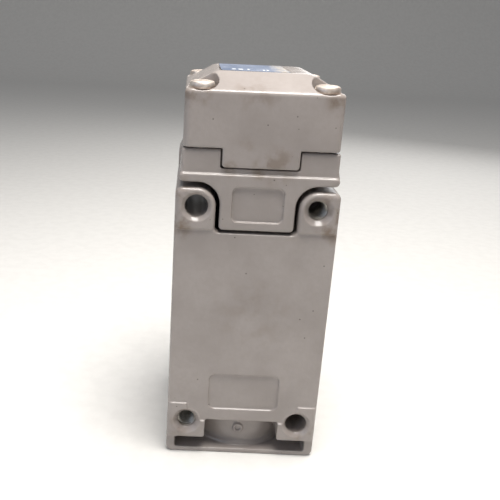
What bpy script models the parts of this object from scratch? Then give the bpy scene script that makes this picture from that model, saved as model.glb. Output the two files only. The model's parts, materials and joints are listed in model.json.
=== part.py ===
"""Plug-in limit switch with a spring-return side-rotary head.

The receptacle screws to a machine through the four holes at its back and takes the conduit from
below. The switch body plugs into its front and carries the head, whose shaft works the contacts
through a cam, a plunger and a contact carrier.

+X is to the right seen from the front, +Z is up, and the mounting face looks along +Y. Depths are
measured from the mounting face towards the front, and `at_depth` turns them into Y.
"""

import math

import bmesh
import bpy

MM = 0.001

# Envelope
MOUNT_FACE_Y = 30.0 * MM
SHAFT_TIP_DEPTH = 60.0 * MM
BASE_HALF = 19.95 * MM
EAR_TOP = 74.3 * MM
RECEPTACLE_DEPTH = 31.0 * MM
COVER_DEPTH = 43.2 * MM
GAP = 0.3 * MM

# Mounting pattern: 29.46 by 59.44 (1.16 by 2.34 inches)
HOLE_X = 14.73 * MM
HOLE_LOW = 10.18 * MM
HOLE_HIGH = 69.62 * MM
CLEARANCE_RADIUS = 2.8 * MM
TAPPED_RADIUS = 2.05 * MM

# Receptacle
PLATE_DEPTH = 0.5 * MM
EAR_INSIDE = 10.03 * MM
EAR_ARC = 4.7 * MM
SLOT_FLOOR = 63.2 * MM
HUB_RADIUS = 13.2 * MM
HUB_DEPTH = 17.0 * MM
CONDUIT_RADIUS = 9.5 * MM
CHAMBER_BACK = 3.5 * MM

# Switch body
GASKET_DEPTHS = (31.3 * MM, 32.1 * MM)
COVER_BACK = 32.4 * MM
TONGUE_HALF = 9.15 * MM
TONGUE_BOTTOM = 63.9 * MM
SHOULDER_HALF = 18.8 * MM
SHOULDER_BOTTOM = 75.6 * MM
BODY_TOP = 83.6 * MM

# Head
HEAD_HALF = 18.6 * MM
HEAD_DEPTH = 18.95 * MM
HEAD_BOTTOM = 83.9 * MM
HEAD_EDGE = 97.3 * MM
HEAD_TOP = 101.1 * MM
PLATEAU_HALF = 11.1 * MM
HEAD_SCREW_X = 14.6 * MM
CAVITY_RADIUS = 15.0 * MM
TAB_HALF = 9.2 * MM
TAB_BOTTOM = 79.35 * MM

# Shaft, cam and plunger
SHAFT_Z = 91.2 * MM
SHAFT_RADIUS = 3.175 * MM
CAM_BASE = 4.9 * MM
CAM_ANGLE = math.radians(75)
STROKE = 2.4 * MM
CAM_RISE = STROKE / CAM_ANGLE
PLUNGER_TOP = SHAFT_Z - CAM_BASE - GAP
PLUNGER_RADIUS = 2.0 * MM

# Contacts
NC_X = 3.6 * MM
NO_X = 10.4 * MM
NC_LEVEL = 52.4 * MM
NO_LEVEL = 37.7 * MM
BLOCK_HALF = 14.6 * MM
BRIDGE_DEPTH = 21.4 * MM
CONTACT_X = 7.9 * MM
TERMINAL_LEVEL = 26.6 * MM

SIDES = 20


def at_depth(depth):
    """The Y of a point this far in front of the mounting face."""
    return MOUNT_FACE_Y - depth


def depths(back, front):
    """The Y range between two depths, low end first."""
    return at_depth(front), at_depth(back)


HEAD_Y = at_depth(HEAD_DEPTH)


# Outlines -----------------------------------------------------------------------------------


def arc(x, y, radius, start, end, steps):
    """Points along an arc; angles in degrees from the first axis."""
    angles = [math.radians(start + (end - start) * i / steps) for i in range(steps + 1)]
    return [(x + radius * math.cos(a), y + radius * math.sin(a)) for a in angles]


def rounded(corners, steps=4):
    """A closed outline whose (x, y, radius) corners are rounded by tangent arcs."""
    outline = []
    for index, (x, y, radius) in enumerate(corners):
        if not radius:
            outline.append((x, y))
            continue
        arms = []
        for other in (corners[index - 1], corners[(index + 1) % len(corners)]):
            length = math.hypot(other[0] - x, other[1] - y)
            arms.append(((other[0] - x) / length, (other[1] - y) / length))
        (ax, ay), (bx, by) = arms
        half = math.acos(max(-1.0, min(1.0, ax * bx + ay * by))) / 2
        middle = math.hypot(ax + bx, ay + by)
        reach = radius / math.sin(half)
        cx, cy = x + (ax + bx) / middle * reach, y + (ay + by) / middle * reach
        setback = radius / math.tan(half)
        first = math.atan2(y + ay * setback - cy, x + ax * setback - cx)
        last = math.atan2(y + by * setback - cy, x + bx * setback - cx)
        sweep = (last - first + math.pi) % (2 * math.pi) - math.pi
        for step in range(steps + 1):
            angle = first + sweep * step / steps
            outline.append((cx + radius * math.cos(angle), cy + radius * math.sin(angle)))
    return outline


def both_sides(corners):
    """The corners of a right half followed by their mirror images."""
    return corners + [(-x, *rest) for x, *rest in reversed(corners)]


def rectangle(x, y, radius=0.0):
    """A rectangle between two ranges, its corners rounded where a radius is given."""
    (x0, x1), (y0, y1) = x, y
    corners = [(x0, y0, radius), (x1, y0, radius), (x1, y1, radius), (x0, y1, radius)]
    return rounded(corners)


# Solids -------------------------------------------------------------------------------------


class Shape:
    """Closed solids gathered in one mesh, in the part's own frame."""

    PLACES = {
        "X": lambda a, b, t: (t, a, b),
        "Y": lambda a, b, t: (a, t, b),
        "Z": lambda a, b, t: (a, b, t),
    }

    def __init__(self):
        self.mesh = bmesh.new()

    def ring(self, outline, level, axis):
        place = self.PLACES[axis]
        return [self.mesh.verts.new(place(a, b, level)) for a, b in outline]

    def bridge(self, low, high):
        for i in range(len(low)):
            j = (i + 1) % len(low)
            self.mesh.faces.new((low[i], low[j], high[j], high[i]))

    def loft(self, sections, axis="Y"):
        """A solid through (outline, level) sections that have the same number of points."""
        rings = [self.ring(outline, level, axis) for outline, level in sections]
        for low, high in zip(rings, rings[1:]):
            self.bridge(low, high)
        self.mesh.faces.new(rings[0])
        self.mesh.faces.new(rings[-1])
        return self

    def prism(self, outline, span, axis="Y"):
        return self.loft([(outline, span[0]), (outline, span[1])], axis)

    def block(self, x, y, z):
        return self.prism(rectangle(x, y), z, "Z")

    def rod(self, centre, radius, span, axis="Y", sides=SIDES):
        return self.prism(arc(*centre, radius, 0, 360, sides)[:-1], span, axis)

    def turned(self, profile, centre, axis="Y", sides=SIDES):
        """A hollow piece turned from a closed (radius, level) profile clear of the axis."""
        rings = [
            self.ring(arc(*centre, radius, 0, 360, sides)[:-1], level, axis)
            for radius, level in profile
        ]
        for index, low in enumerate(rings):
            self.bridge(low, rings[(index + 1) % len(rings)])
        return self

    def tube(self, centre, inner, outer, span, axis="Y", sides=SIDES):
        low, high = span
        profile = [(outer, low), (outer, high), (inner, high), (inner, low)]
        return self.turned(profile, centre, axis, sides)

    def coil(self, centre, radius, wire, span, turns, axis="Z", sides=5, per_turn=10):
        """A helical spring whose wire stays inside the span."""
        place = self.PLACES[axis]
        low, high = span[0] + wire, span[1] - wire
        count = round(turns * per_turn)
        previous = None
        for step in range(count + 1):
            angle = 2 * math.pi * step / per_turn
            level = low + (high - low) * step / count
            ring = []
            for u, v in arc(0.0, 0.0, wire, 0, 360, sides)[:-1]:
                a = centre[0] + (radius + u) * math.cos(angle)
                b = centre[1] + (radius + u) * math.sin(angle)
                ring.append(self.mesh.verts.new(place(a, b, level + v)))
            if previous is None:
                self.mesh.faces.new(ring)
            else:
                self.bridge(previous, ring)
            previous = ring
        self.mesh.faces.new(previous)
        return self


# Objects ------------------------------------------------------------------------------------


class Finish:
    """A plain material, made once and shared by the pieces that have it."""

    def __init__(self, name, colour, roughness, metallic=0.0):
        self.material = bpy.data.materials.new(name)
        self.material.use_nodes = True
        shader = self.material.node_tree.nodes["Principled BSDF"]
        shader.inputs["Base Color"].default_value = (*colour, 1.0)
        shader.inputs["Roughness"].default_value = roughness
        shader.inputs["Metallic"].default_value = metallic


def new_object(name, shape, parent):
    """An object whose mesh is written from its parent's origin."""
    frame = parent if parent.type == "EMPTY" else parent.parent
    origin = frame.matrix_world.translation
    bmesh.ops.translate(shape.mesh, vec=-origin, verts=shape.mesh.verts)
    bmesh.ops.recalc_face_normals(shape.mesh, faces=shape.mesh.faces)
    mesh = bpy.data.meshes.new(name)
    shape.mesh.to_mesh(mesh)
    shape.mesh.free()
    mesh.shade_smooth()
    mesh.set_sharp_from_angle(angle=math.radians(30))
    created = bpy.data.objects.new(name, mesh)
    created.parent = parent
    bpy.context.scene.collection.objects.link(created)
    return created


def piece(name, shape, finish, parent):
    created = new_object(name, shape, parent)
    created.data.materials.append(finish.material)
    return created


def combine(target, name, shape, operation):
    tool = new_object(f"{target.name}_{name}", shape, target)
    tool.hide_render = True
    tool.display_type = "WIRE"
    step = target.modifiers.new(name, "BOOLEAN")
    step.operation = operation
    step.solver = "EXACT"
    step.object = tool


def cut(target, name, shape):
    combine(target, name, shape, "DIFFERENCE")


def join(target, name, shape):
    combine(target, name, shape, "UNION")


def axis_empty(name, location, parent=None):
    """An empty on a joint's axis; pieces parented to it have their origin there."""
    empty = bpy.data.objects.new(name, None)
    empty.location = location
    empty.empty_display_size = 10 * MM
    empty.parent = parent
    bpy.context.scene.collection.objects.link(empty)
    bpy.context.view_layer.update()
    return empty


def screw(name, centre, shank, head, finish, parent):
    """A screw along Y; its shank and its head are (radius, back depth, front depth)."""
    radius, back, front = shank
    made = piece(name, Shape().rod(centre, radius, depths(back, front), sides=12), finish, parent)
    radius, back, front = head
    join(made, "head", Shape().rod(centre, radius, depths(back, front), sides=16))
    return made


# Receptacle ---------------------------------------------------------------------------------


def receptacle_outline():
    return rounded(
        both_sides(
            [
                (BASE_HALF, 0.0, 1.8 * MM),
                (BASE_HALF, EAR_TOP, 1.8 * MM),
                (EAR_INSIDE, EAR_TOP, EAR_ARC),
                (EAR_INSIDE, SLOT_FLOOR, 1.0 * MM),
            ]
        )
    )


def plate_outline():
    """The lowered field between the upper pads and the L-shaped lower pads."""
    around_hole = arc(HOLE_X, HOLE_LOW, 3.5 * MM, 94, 178, 6)
    right = [(25 * MM, 64.1 * MM), (25 * MM, 15.4 * MM), (14.8 * MM, 15.4 * MM), *around_hole]
    return both_sides(right)


def chamber_outline(grow=0.0):
    """The wiring chamber, open at the top between the ears."""
    return rounded(
        both_sides(
            [
                (9.2 * MM + grow, 12.6 * MM - grow, 1.0 * MM),
                (9.2 * MM + grow, 16.0 * MM - grow, 1.0 * MM),
                (16.9 * MM + grow, 16.0 * MM - grow, 1.0 * MM),
                (16.9 * MM + grow, 60.4 * MM + grow, 1.0 * MM),
                (EAR_INSIDE, 60.4 * MM + grow, 0.0),
                (EAR_INSIDE, 76.0 * MM, 0.0),
            ]
        )
    )


def receptacle_casting(finish, parent):
    casting = piece(
        "receptacle_casting",
        Shape().prism(receptacle_outline(), depths(0.0, RECEPTACLE_DEPTH)),
        finish,
        parent,
    )
    cut(casting, "plate", Shape().prism(plate_outline(), depths(-1 * MM, PLATE_DEPTH)))
    cut(casting, "chamber", Shape().prism(chamber_outline(), depths(CHAMBER_BACK, 33 * MM)))
    pocket = rounded(
        both_sides(
            [
                (17.7 * MM, 1.3 * MM, 0.8 * MM),
                (17.7 * MM, 5.3 * MM, 0.8 * MM),
                (9.8 * MM, 5.3 * MM, 0.0),
                (9.8 * MM, 10.55 * MM, 0.6 * MM),
            ]
        )
    )
    cut(casting, "pocket", Shape().prism(pocket, depths(-1 * MM, 16 * MM)))
    hub_centre = (0.0, at_depth(HUB_DEPTH))
    join(casting, "hub", Shape().rod(hub_centre, HUB_RADIUS, (0.6 * MM, 11.6 * MM), "Z", 40))
    cut(casting, "conduit", Shape().rod(hub_centre, CONDUIT_RADIUS, (-1 * MM, 14 * MM), "Z", 32))
    panel = rectangle((-9.2 * MM, 9.2 * MM), (13.8 * MM, 24.3 * MM), 1.8 * MM)
    cut(casting, "panel", Shape().prism(panel, depths(-1 * MM, 0.9 * MM)))
    holes = Shape()
    through = depths(-1 * MM, 33 * MM)
    holes.rod((HOLE_X, HOLE_HIGH), CLEARANCE_RADIUS, through)
    holes.rod((-HOLE_X, HOLE_LOW), CLEARANCE_RADIUS, through)
    for centre in ((-HOLE_X, HOLE_HIGH), (HOLE_X, HOLE_LOW)):
        holes.rod(centre, TAPPED_RADIUS, depths(-1 * MM, 12 * MM))
        holes.rod(centre, 2.2 * MM, depths(18 * MM, 33 * MM))
    holes.rod((0.0, 16.8 * MM), 1.9 * MM, depths(1.6 * MM, 4.5 * MM), sides=16)
    for x in (-8 * MM, 8 * MM):
        holes.rod((x, 57.4 * MM), 1.6 * MM, depths(1.3 * MM, 4.5 * MM), sides=16)
    cut(casting, "holes", holes)


def body_gasket(finish, parent):
    outer = rounded(
        both_sides(
            [
                (19.2 * MM, 0.9 * MM, 1.5 * MM),
                (19.2 * MM, 73.5 * MM, 1.5 * MM),
                (10.7 * MM, 73.5 * MM, 4.0 * MM),
                (10.7 * MM, 62.9 * MM, 0.6 * MM),
            ]
        )
    )
    gasket = piece("body_gasket", Shape().prism(outer, depths(*GASKET_DEPTHS)), finish, parent)
    inner = rounded(
        both_sides(
            [
                (9.5 * MM, 12.3 * MM, 1.0 * MM),
                (9.5 * MM, 15.7 * MM, 1.0 * MM),
                (17.2 * MM, 15.7 * MM, 1.0 * MM),
                (17.2 * MM, 60.7 * MM, 1.0 * MM),
            ]
        )
    )
    openings = Shape().prism(inner, depths(30 * MM, 33 * MM))
    for x in (-HOLE_X, HOLE_X):
        for z in (HOLE_LOW, HOLE_HIGH):
            openings.rod((x, z), 3.4 * MM, depths(30 * MM, 33 * MM))
    cut(gasket, "openings", openings)


def terminal_block(finish, parent):
    body = rectangle((-13.8 * MM, 13.8 * MM), (21.5 * MM, 59.5 * MM), 1.0 * MM)
    block = piece("terminal_block", Shape().prism(body, depths(3.8 * MM, 13.2 * MM)), finish, parent)
    channels = Shape()
    for x in (-NO_X, -NC_X, NC_X, NO_X):
        channels.prism(
            rectangle((x - 2.5 * MM, x + 2.5 * MM), (22.4 * MM, 55.2 * MM)), depths(4.9 * MM, 14 * MM)
        )
    cut(block, "channels", channels)
    for name, radius, back in (("screw_holes", 1.6 * MM, 3 * MM), ("counterbores", 2.8 * MM, 9.6 * MM)):
        holes = Shape()
        for x in (-8 * MM, 8 * MM):
            holes.rod((x, 57.4 * MM), radius, depths(back, 14 * MM), sides=16)
        cut(block, name, holes)


def socket_contacts(finish, parent):
    """Four straps, each with a forked jaw for a blade and a pad under its terminal screw."""
    for number, (x, level) in enumerate(blade_places(), 1):
        width = (x - 2.1 * MM, x + 2.1 * MM)
        strap = Shape().block(width, depths(5.2 * MM, 6.0 * MM), (22.9 * MM, level + 1.3 * MM))
        contact = piece(f"socket_contact_{number}", strap, finish, parent)
        jaws = Shape()
        for leaf in (level + 0.7 * MM, level - 1.3 * MM):
            jaws.block(width, depths(5.6 * MM, 12.6 * MM), (leaf, leaf + 0.6 * MM))
        join(contact, "jaws", jaws)
        hole = Shape().rod((x, TERMINAL_LEVEL), 1.5 * MM, depths(4 * MM, 8 * MM), sides=16)
        cut(contact, "hole", hole)


def terminals(clamp_finish, screw_finish, parent):
    half = 2.1 * MM
    level = (TERMINAL_LEVEL - half, TERMINAL_LEVEL + half)
    for number, (x, _) in enumerate(blade_places(), 1):
        centre = (x, TERMINAL_LEVEL)
        plate = Shape().block((x - half, x + half), depths(6.5 * MM, 7.3 * MM), level)
        clamp = piece(f"terminal_clamp_{number}", plate, clamp_finish, parent)
        cut(clamp, "hole", Shape().rod(centre, 1.5 * MM, depths(6 * MM, 8 * MM), sides=16))
        shank = (1.2 * MM, 5.2 * MM, 8.0 * MM)
        screw(f"terminal_screw_{number}", centre, shank, (2.0 * MM, 7.6 * MM, 9.6 * MM), screw_finish, parent)


def receptacle_screws(steel, green, parent):
    for number, x in enumerate((-8 * MM, 8 * MM), 1):
        name = f"terminal_block_screw_{number}"
        shank = (1.3 * MM, 1.7 * MM, 10.5 * MM)
        screw(name, (x, 57.4 * MM), shank, (2.4 * MM, 9.9 * MM, 11.6 * MM), steel, parent)
    shank = (1.6 * MM, 2.0 * MM, 5.0 * MM)
    screw("ground_screw", (0.0, 16.8 * MM), shank, (3.0 * MM, 3.8 * MM, 6.0 * MM), green, parent)


# Switch body --------------------------------------------------------------------------------


def cover_outline():
    return rounded(
        both_sides(
            [
                (19.9 * MM, 0.4 * MM, 2.4 * MM),
                (19.9 * MM, 76.8 * MM, 1.5 * MM),
                (SHOULDER_HALF, 79.2 * MM, 1.0 * MM),
                (SHOULDER_HALF, BODY_TOP, 0.5 * MM),
            ]
        )
    )


def platform_outline():
    return rounded(
        both_sides(
            [
                (19.2 * MM, SHOULDER_BOTTOM, 1.2 * MM),
                (19.2 * MM, 77.6 * MM, 0.8 * MM),
                (SHOULDER_HALF, 79.2 * MM, 1.0 * MM),
                (SHOULDER_HALF, BODY_TOP, 0.5 * MM),
            ]
        )
    )


def switch_body_casting(finish, parent):
    body = piece(
        "switch_body_casting",
        Shape().prism(cover_outline(), depths(COVER_BACK, COVER_DEPTH)),
        finish,
        parent,
    )
    join(body, "platform", Shape().prism(platform_outline(), depths(1.0 * MM, 33.5 * MM)))
    tongue = rounded(
        both_sides([(TONGUE_HALF, TONGUE_BOTTOM, 1.0 * MM), (TONGUE_HALF, 80.0 * MM, 0.0)])
    )
    join(body, "tongue", Shape().prism(tongue, depths(0.35 * MM, 33.0 * MM)))
    brow = [
        (at_depth(37.8 * MM), 84.0 * MM),
        (at_depth(COVER_DEPTH + 0.2 * MM), 78.0 * MM),
        (at_depth(45 * MM), 78.0 * MM),
        (at_depth(45 * MM), 84.0 * MM),
    ]
    cut(body, "brow", Shape().prism(brow, (-25 * MM, 25 * MM), "X"))
    tab_notch = Shape().block((-9.5 * MM, 9.5 * MM), depths(-1 * MM, 3.6 * MM), (79.05 * MM, 85 * MM))
    cut(body, "tab_notch", tab_notch)
    panel = rectangle((-6.25 * MM, 6.25 * MM), (66.0 * MM, 74.8 * MM), 1.5 * MM)
    cut(body, "panel", Shape().prism(panel, depths(-1 * MM, 0.75 * MM)))
    hollow = rectangle((-15.6 * MM, 15.6 * MM), (17 * MM, 63 * MM), 1.5 * MM)
    cut(body, "hollow", Shape().prism(hollow, depths(32 * MM, 40.2 * MM)))
    standoffs = Shape()
    for x, z in contact_block_screw_places():
        standoffs.rod((x, z), 2.8 * MM, depths(31.6 * MM, 41 * MM), sides=16)
    join(body, "standoffs", standoffs)
    bore_body(body)


def bore_body(body):
    """Plunger well and bores, screw holes and the nameplate recess."""
    centre = (0.0, HEAD_Y)
    cut(body, "plunger_hole", Shape().rod(centre, 2.6 * MM, (62 * MM, 80 * MM), "Z", 16))
    cut(body, "guide_bore", Shape().rod(centre, 4.0 * MM, (66 * MM, 80 * MM), "Z"))
    cut(body, "well", Shape().rod(centre, 8.5 * MM, (78.5 * MM, 85 * MM), "Z", 32))
    holes = Shape()
    for x, y in head_screw_places():
        holes.rod((x, y), 2.4 * MM, (77.3 * MM, 85 * MM), "Z", 12)
    for x, z in contact_block_screw_places():
        holes.rod((x, z), 1.4 * MM, depths(31 * MM, 37 * MM), sides=12)
    for z in (26.6 * MM, 57.4 * MM):
        holes.rod((0.0, z), 1.3 * MM, depths(41.0 * MM, 44 * MM), sides=12)
    through = depths(31 * MM, 45 * MM)
    for centre, radius in (
        ((HOLE_X, HOLE_HIGH), 3.0 * MM),
        ((-HOLE_X, HOLE_LOW), 3.0 * MM),
        ((-HOLE_X, HOLE_HIGH), 2.3 * MM),
        ((HOLE_X, HOLE_LOW), 2.3 * MM),
    ):
        holes.rod(centre, radius, through)
    cut(body, "holes", holes)
    counterbores = Shape()
    for x in (-HOLE_X, HOLE_X):
        for z in (HOLE_LOW, HOLE_HIGH):
            counterbores.rod((x, z), 4.3 * MM, depths(39.2 * MM, 45 * MM))
    cut(body, "counterbores", counterbores)
    plate = rectangle((-13.3 * MM, 13.3 * MM), (23.7 * MM, 60.3 * MM), 1.3 * MM)
    cut(body, "nameplate_recess", Shape().prism(plate, depths(42.5 * MM, 45 * MM)))


def body_screws(steel, washer_finish, parent):
    for number, (x, z) in enumerate(((-HOLE_X, HOLE_HIGH), (HOLE_X, HOLE_LOW)), 1):
        shank = (1.8 * MM, 19 * MM, 41 * MM)
        made = screw(f"body_screw_{number}", (x, z), shank, (3.9 * MM, 39.5 * MM, 42.6 * MM), steel, parent)
        slot = Shape().block(
            (x - 5 * MM, x + 5 * MM), depths(41.6 * MM, 44 * MM), (z - 0.5 * MM, z + 0.5 * MM)
        )
        cut(made, "slot", slot)
        washer = Shape().tube((x, z), 2.15 * MM, 3.1 * MM, depths(31.35 * MM, 32.05 * MM), sides=16)
        piece(f"body_screw_retainer_{number}", washer, washer_finish, parent)


def nameplate(plate_finish, pin_finish, parent):
    outline = rectangle((-13 * MM, 13 * MM), (24 * MM, 60 * MM), 1.0 * MM)
    plate = piece("nameplate", Shape().prism(outline, depths(42.8 * MM, 43.3 * MM)), plate_finish, parent)
    holes = Shape()
    for number, z in enumerate((26.6 * MM, 57.4 * MM), 1):
        holes.rod((0.0, z), 1.3 * MM, depths(42 * MM, 44 * MM), sides=12)
        shank = (1.0 * MM, 41.3 * MM, 44 * MM)
        head = (1.9 * MM, 43.6 * MM, 44.3 * MM)
        screw(f"nameplate_pin_{number}", (0.0, z), shank, head, pin_finish, parent)
    cut(plate, "holes", holes)


# Contact block ------------------------------------------------------------------------------


def contact_block_screw_places():
    return (-12.2 * MM, 57.2 * MM), (12.2 * MM, 34.0 * MM)


def blade_places():
    return (-NC_X, NC_LEVEL), (NC_X, NC_LEVEL), (-NO_X, NO_LEVEL), (NO_X, NO_LEVEL)


def contact_cavity():
    """The space inside the contact block, with posts left in its four corners."""
    return rounded(
        both_sides(
            [
                (9.8 * MM, 33.3 * MM, 0.0),
                (9.8 * MM, 36.8 * MM, 0.0),
                (13.0 * MM, 36.8 * MM, 0.0),
                (13.0 * MM, 54.6 * MM, 0.0),
                (9.8 * MM, 54.6 * MM, 0.0),
                (9.8 * MM, 58.0 * MM, 0.0),
            ]
        )
    )


def contact_block(finish, parent):
    walls = rectangle((-BLOCK_HALF, BLOCK_HALF), (31 * MM, 60 * MM), 1.0 * MM)
    base = piece("contact_block_base", Shape().prism(walls, depths(13.6 * MM, 22.0 * MM)), finish, parent)
    cut(base, "cavity", Shape().prism(contact_cavity(), depths(15.0 * MM, 23 * MM)))
    stem = Shape().rod((0.0, HEAD_Y), 2.3 * MM, (57 * MM, 61 * MM), "Z")
    cut(base, "stem_hole", stem)
    slots = Shape()
    for x, level in blade_places():
        width = (x - 2.3 * MM, x + 2.3 * MM)
        slots.block(width, depths(13 * MM, 15.5 * MM), (level - 0.7 * MM, level + 0.7 * MM))
    cut(base, "slots", slots)
    cover = piece("contact_block_cover", Shape().prism(walls, depths(22.3 * MM, 31.2 * MM)), finish, parent)
    cut(cover, "cavity", Shape().prism(contact_cavity(), depths(22 * MM, 29.5 * MM)))
    for block in (base, cover):
        holes = Shape()
        for x, z in contact_block_screw_places():
            holes.rod((x, z), 1.4 * MM, depths(13 * MM, 32 * MM), sides=12)
        cut(block, "holes", holes)
    counterbores = Shape()
    for x, z in contact_block_screw_places():
        counterbores.rod((x, z), 2.2 * MM, depths(13 * MM, 15.5 * MM), sides=16)
    cut(base, "counterbores", counterbores)


def contact_block_screws(finish, parent):
    for number, centre in enumerate(contact_block_screw_places(), 1):
        name = f"contact_block_screw_{number}"
        screw(name, centre, (1.1 * MM, 14.5 * MM, 36 * MM), (1.9 * MM, 13.9 * MM, 15.2 * MM), finish, parent)


def blade_outline(blade, arm_turn):
    """Half of a fixed contact seen from above: a blade at the back, an arm to the contact."""
    inner, outer = blade
    arm = (6.3 * MM, 9.5 * MM)
    low, high = arm_turn
    if outer < arm[1]:
        corners = [
            (inner, 7.5 * MM),
            (outer, 7.5 * MM),
            (outer, low),
            (arm[1], low),
            (arm[1], 24 * MM),
            (arm[0], 24 * MM),
            (arm[0], high),
            (inner, high),
        ]
    else:
        corners = [
            (outer, 7.5 * MM),
            (outer, high),
            (arm[1], high),
            (arm[1], 24 * MM),
            (arm[0], 24 * MM),
            (arm[0], low),
            (inner, low),
            (inner, 7.5 * MM),
        ]
    return [(x, at_depth(depth)) for x, depth in corners]


def fixed_contacts(name, blade, level, tip_side, finish, parent):
    thickness = (level - 0.4 * MM, level + 0.4 * MM)
    tip_level = sorted((level, level + tip_side * 0.9 * MM))
    for number, side in enumerate((-1, 1), 1):
        outline = [(side * x, y) for x, y in blade_outline(blade, (15.3 * MM, 16.3 * MM))]
        contact = piece(f"{name}_{number}", Shape().prism(outline, thickness, "Z"), finish, parent)
        centre = (side * CONTACT_X, at_depth(BRIDGE_DEPTH))
        join(contact, "tip", Shape().rod(centre, 1.3 * MM, tip_level, "Z", 12))


def bridge(name, level, tip_side, finish, parent):
    """A moving contact with a tip at each end."""
    half = 9.4 * MM
    tips = Shape()
    for side in (-1, 1):
        centre = (side * CONTACT_X, at_depth(BRIDGE_DEPTH))
        tips.rod(centre, 1.3 * MM, sorted((level, level + tip_side * 0.9 * MM)), "Z", 12)
    bar = Shape().block((-half, half), depths(19.6 * MM, 23.2 * MM), (level - 0.4 * MM, level + 0.4 * MM))
    join(piece(name, bar, finish, parent), "tips", tips)


def contact_carrier(finish, parent):
    half = 4.4 * MM
    carrier = piece(
        "contact_carrier",
        Shape().block((-half, half), depths(16.7 * MM, 26.0 * MM), (39.6 * MM, 53.6 * MM)),
        finish,
        parent,
    )
    stem = Shape().rod((0.0, HEAD_Y), 1.9 * MM, (52.6 * MM, 61.8 * MM), "Z")
    join(carrier, "stem", stem)
    windows = Shape()
    for levels in ((41.5 * MM, 45.5 * MM), (47.0 * MM, 51.8 * MM)):
        windows.block((-6 * MM, 6 * MM), depths(19.0 * MM, 23.8 * MM), levels)
    cut(carrier, "windows", windows)


def contact_springs(finish, fixed, moving):
    centre = (0.0, at_depth(BRIDGE_DEPTH))
    for name, levels in (("nc", (47.3 * MM, 49.6 * MM)), ("no", (43.0 * MM, 45.2 * MM))):
        coil = Shape().coil(centre, 1.3 * MM, 0.18 * MM, levels, 3)
        piece(f"{name}_bridge_spring", coil, finish, moving)
    carrier_spring = Shape().coil(centre, 2.4 * MM, 0.3 * MM, (33.6 * MM, 39.3 * MM), 4)
    piece("carrier_spring", carrier_spring, finish, fixed)


# Head ---------------------------------------------------------------------------------------


def head_screw_places():
    reach = HEAD_SCREW_X
    return [(x, HEAD_Y + y) for x in (-reach, reach) for y in (-reach, reach)]


def square(half, radius):
    return rectangle((-half, half), (HEAD_Y - half, HEAD_Y + half), radius)


def head_casting(finish, parent):
    sides = square(HEAD_HALF, 1.6 * MM)
    sections = [(sides, HEAD_BOTTOM), (sides, HEAD_EDGE), (square(PLATEAU_HALF, 0.8 * MM), HEAD_TOP)]
    head = piece("head_casting", Shape().loft(sections, "Z"), finish, parent)
    shaft = (0.0, SHAFT_Z)
    join(head, "boss", Shape().rod(shaft, 6.0 * MM, depths(36.5 * MM, 41.5 * MM), sides=32))
    tab = rectangle((-TAB_HALF, TAB_HALF), (TAB_BOTTOM, 86 * MM), 0.8 * MM)
    join(head, "tab", Shape().prism(tab, depths(0.35 * MM, 3.3 * MM)))
    centre = (0.0, HEAD_Y)
    cut(head, "cavity", Shape().rod(centre, CAVITY_RADIUS, (83 * MM, 96.8 * MM), "Z", 40))
    cut(head, "seal_seat", Shape().rod(centre, 16.6 * MM, (82 * MM, 84.9 * MM), "Z", 40))
    join(head, "rear_boss", Shape().rod(shaft, 5.6 * MM, depths(3.0 * MM, 8.2 * MM)))
    bores = Shape().rod(shaft, 4.7 * MM, depths(30 * MM, 43 * MM))
    bores.rod(shaft, 4.5 * MM, depths(4.1 * MM, 9 * MM))
    cut(head, "bores", bores)
    cut(head, "washer_seat", Shape().rod(shaft, 6.2 * MM, depths(30 * MM, 34.4 * MM), sides=24))
    pockets = Shape()
    holes = Shape()
    for place in head_screw_places():
        pockets.rod(place, 3.8 * MM, (96.9 * MM, 103 * MM), "Z", 24)
        holes.rod(place, 2.4 * MM, (82 * MM, 98 * MM), "Z", 16)
    cut(head, "pockets", pockets)
    cut(head, "holes", holes)
    label_seat = rectangle((-6.5 * MM, 10.5 * MM), (HEAD_Y - 10.4 * MM, HEAD_Y + 10.4 * MM), 0.6 * MM)
    cut(head, "label_seat", Shape().prism(label_seat, (100.6 * MM, 103 * MM), "Z"))


def head_trim(screw_finish, label_finish, seal_finish, parent):
    for number, (x, y) in enumerate(head_screw_places(), 1):
        shank = Shape().rod((x, y), 2.0 * MM, (78 * MM, 98 * MM), "Z", 12)
        made = piece(f"head_screw_{number}", shank, screw_finish, parent)
        join(made, "head", Shape().rod((x, y), 3.05 * MM, (97.2 * MM, 99.0 * MM), "Z"))
        slot = Shape().block((x - 4 * MM, x + 4 * MM), (y - 0.5 * MM, y + 0.5 * MM), (98.1 * MM, 100 * MM))
        cut(made, "slot", slot)
    label = rectangle((-6.2 * MM, 10.2 * MM), (HEAD_Y - 10.1 * MM, HEAD_Y + 10.1 * MM), 0.5 * MM)
    piece("head_label", Shape().prism(label, (100.9 * MM, 101.2 * MM), "Z"), label_finish, parent)
    ring = (HEAD_BOTTOM, HEAD_BOTTOM + 0.7 * MM)
    seal = Shape().tube((0.0, HEAD_Y), 5.3 * MM, 16.3 * MM, ring, "Z", 40)
    piece("head_diaphragm", seal, seal_finish, parent)


def bearings(bronze, rubber, parent):
    centre = (0.0, SHAFT_Z)
    inner = 3.5 * MM
    barrel = 4.4 * MM
    flange = 5.7 * MM
    back, shoulder, front = at_depth(36.6 * MM), at_depth(41.8 * MM), at_depth(42.8 * MM)
    profile = [
        (inner, back),
        (inner, front),
        (flange, front),
        (flange, shoulder),
        (barrel, shoulder),
        (barrel, back),
    ]
    piece("shaft_bushing", Shape().turned(profile, centre), bronze, parent)
    rear = Shape().tube(centre, 2.85 * MM, 4.2 * MM, depths(4.4 * MM, 8.0 * MM))
    piece("rear_bushing", rear, bronze, parent)
    seal = Shape().tube(centre, inner, 4.4 * MM, depths(34.7 * MM, 36.3 * MM))
    piece("shaft_seal", seal, rubber, parent)


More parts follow.
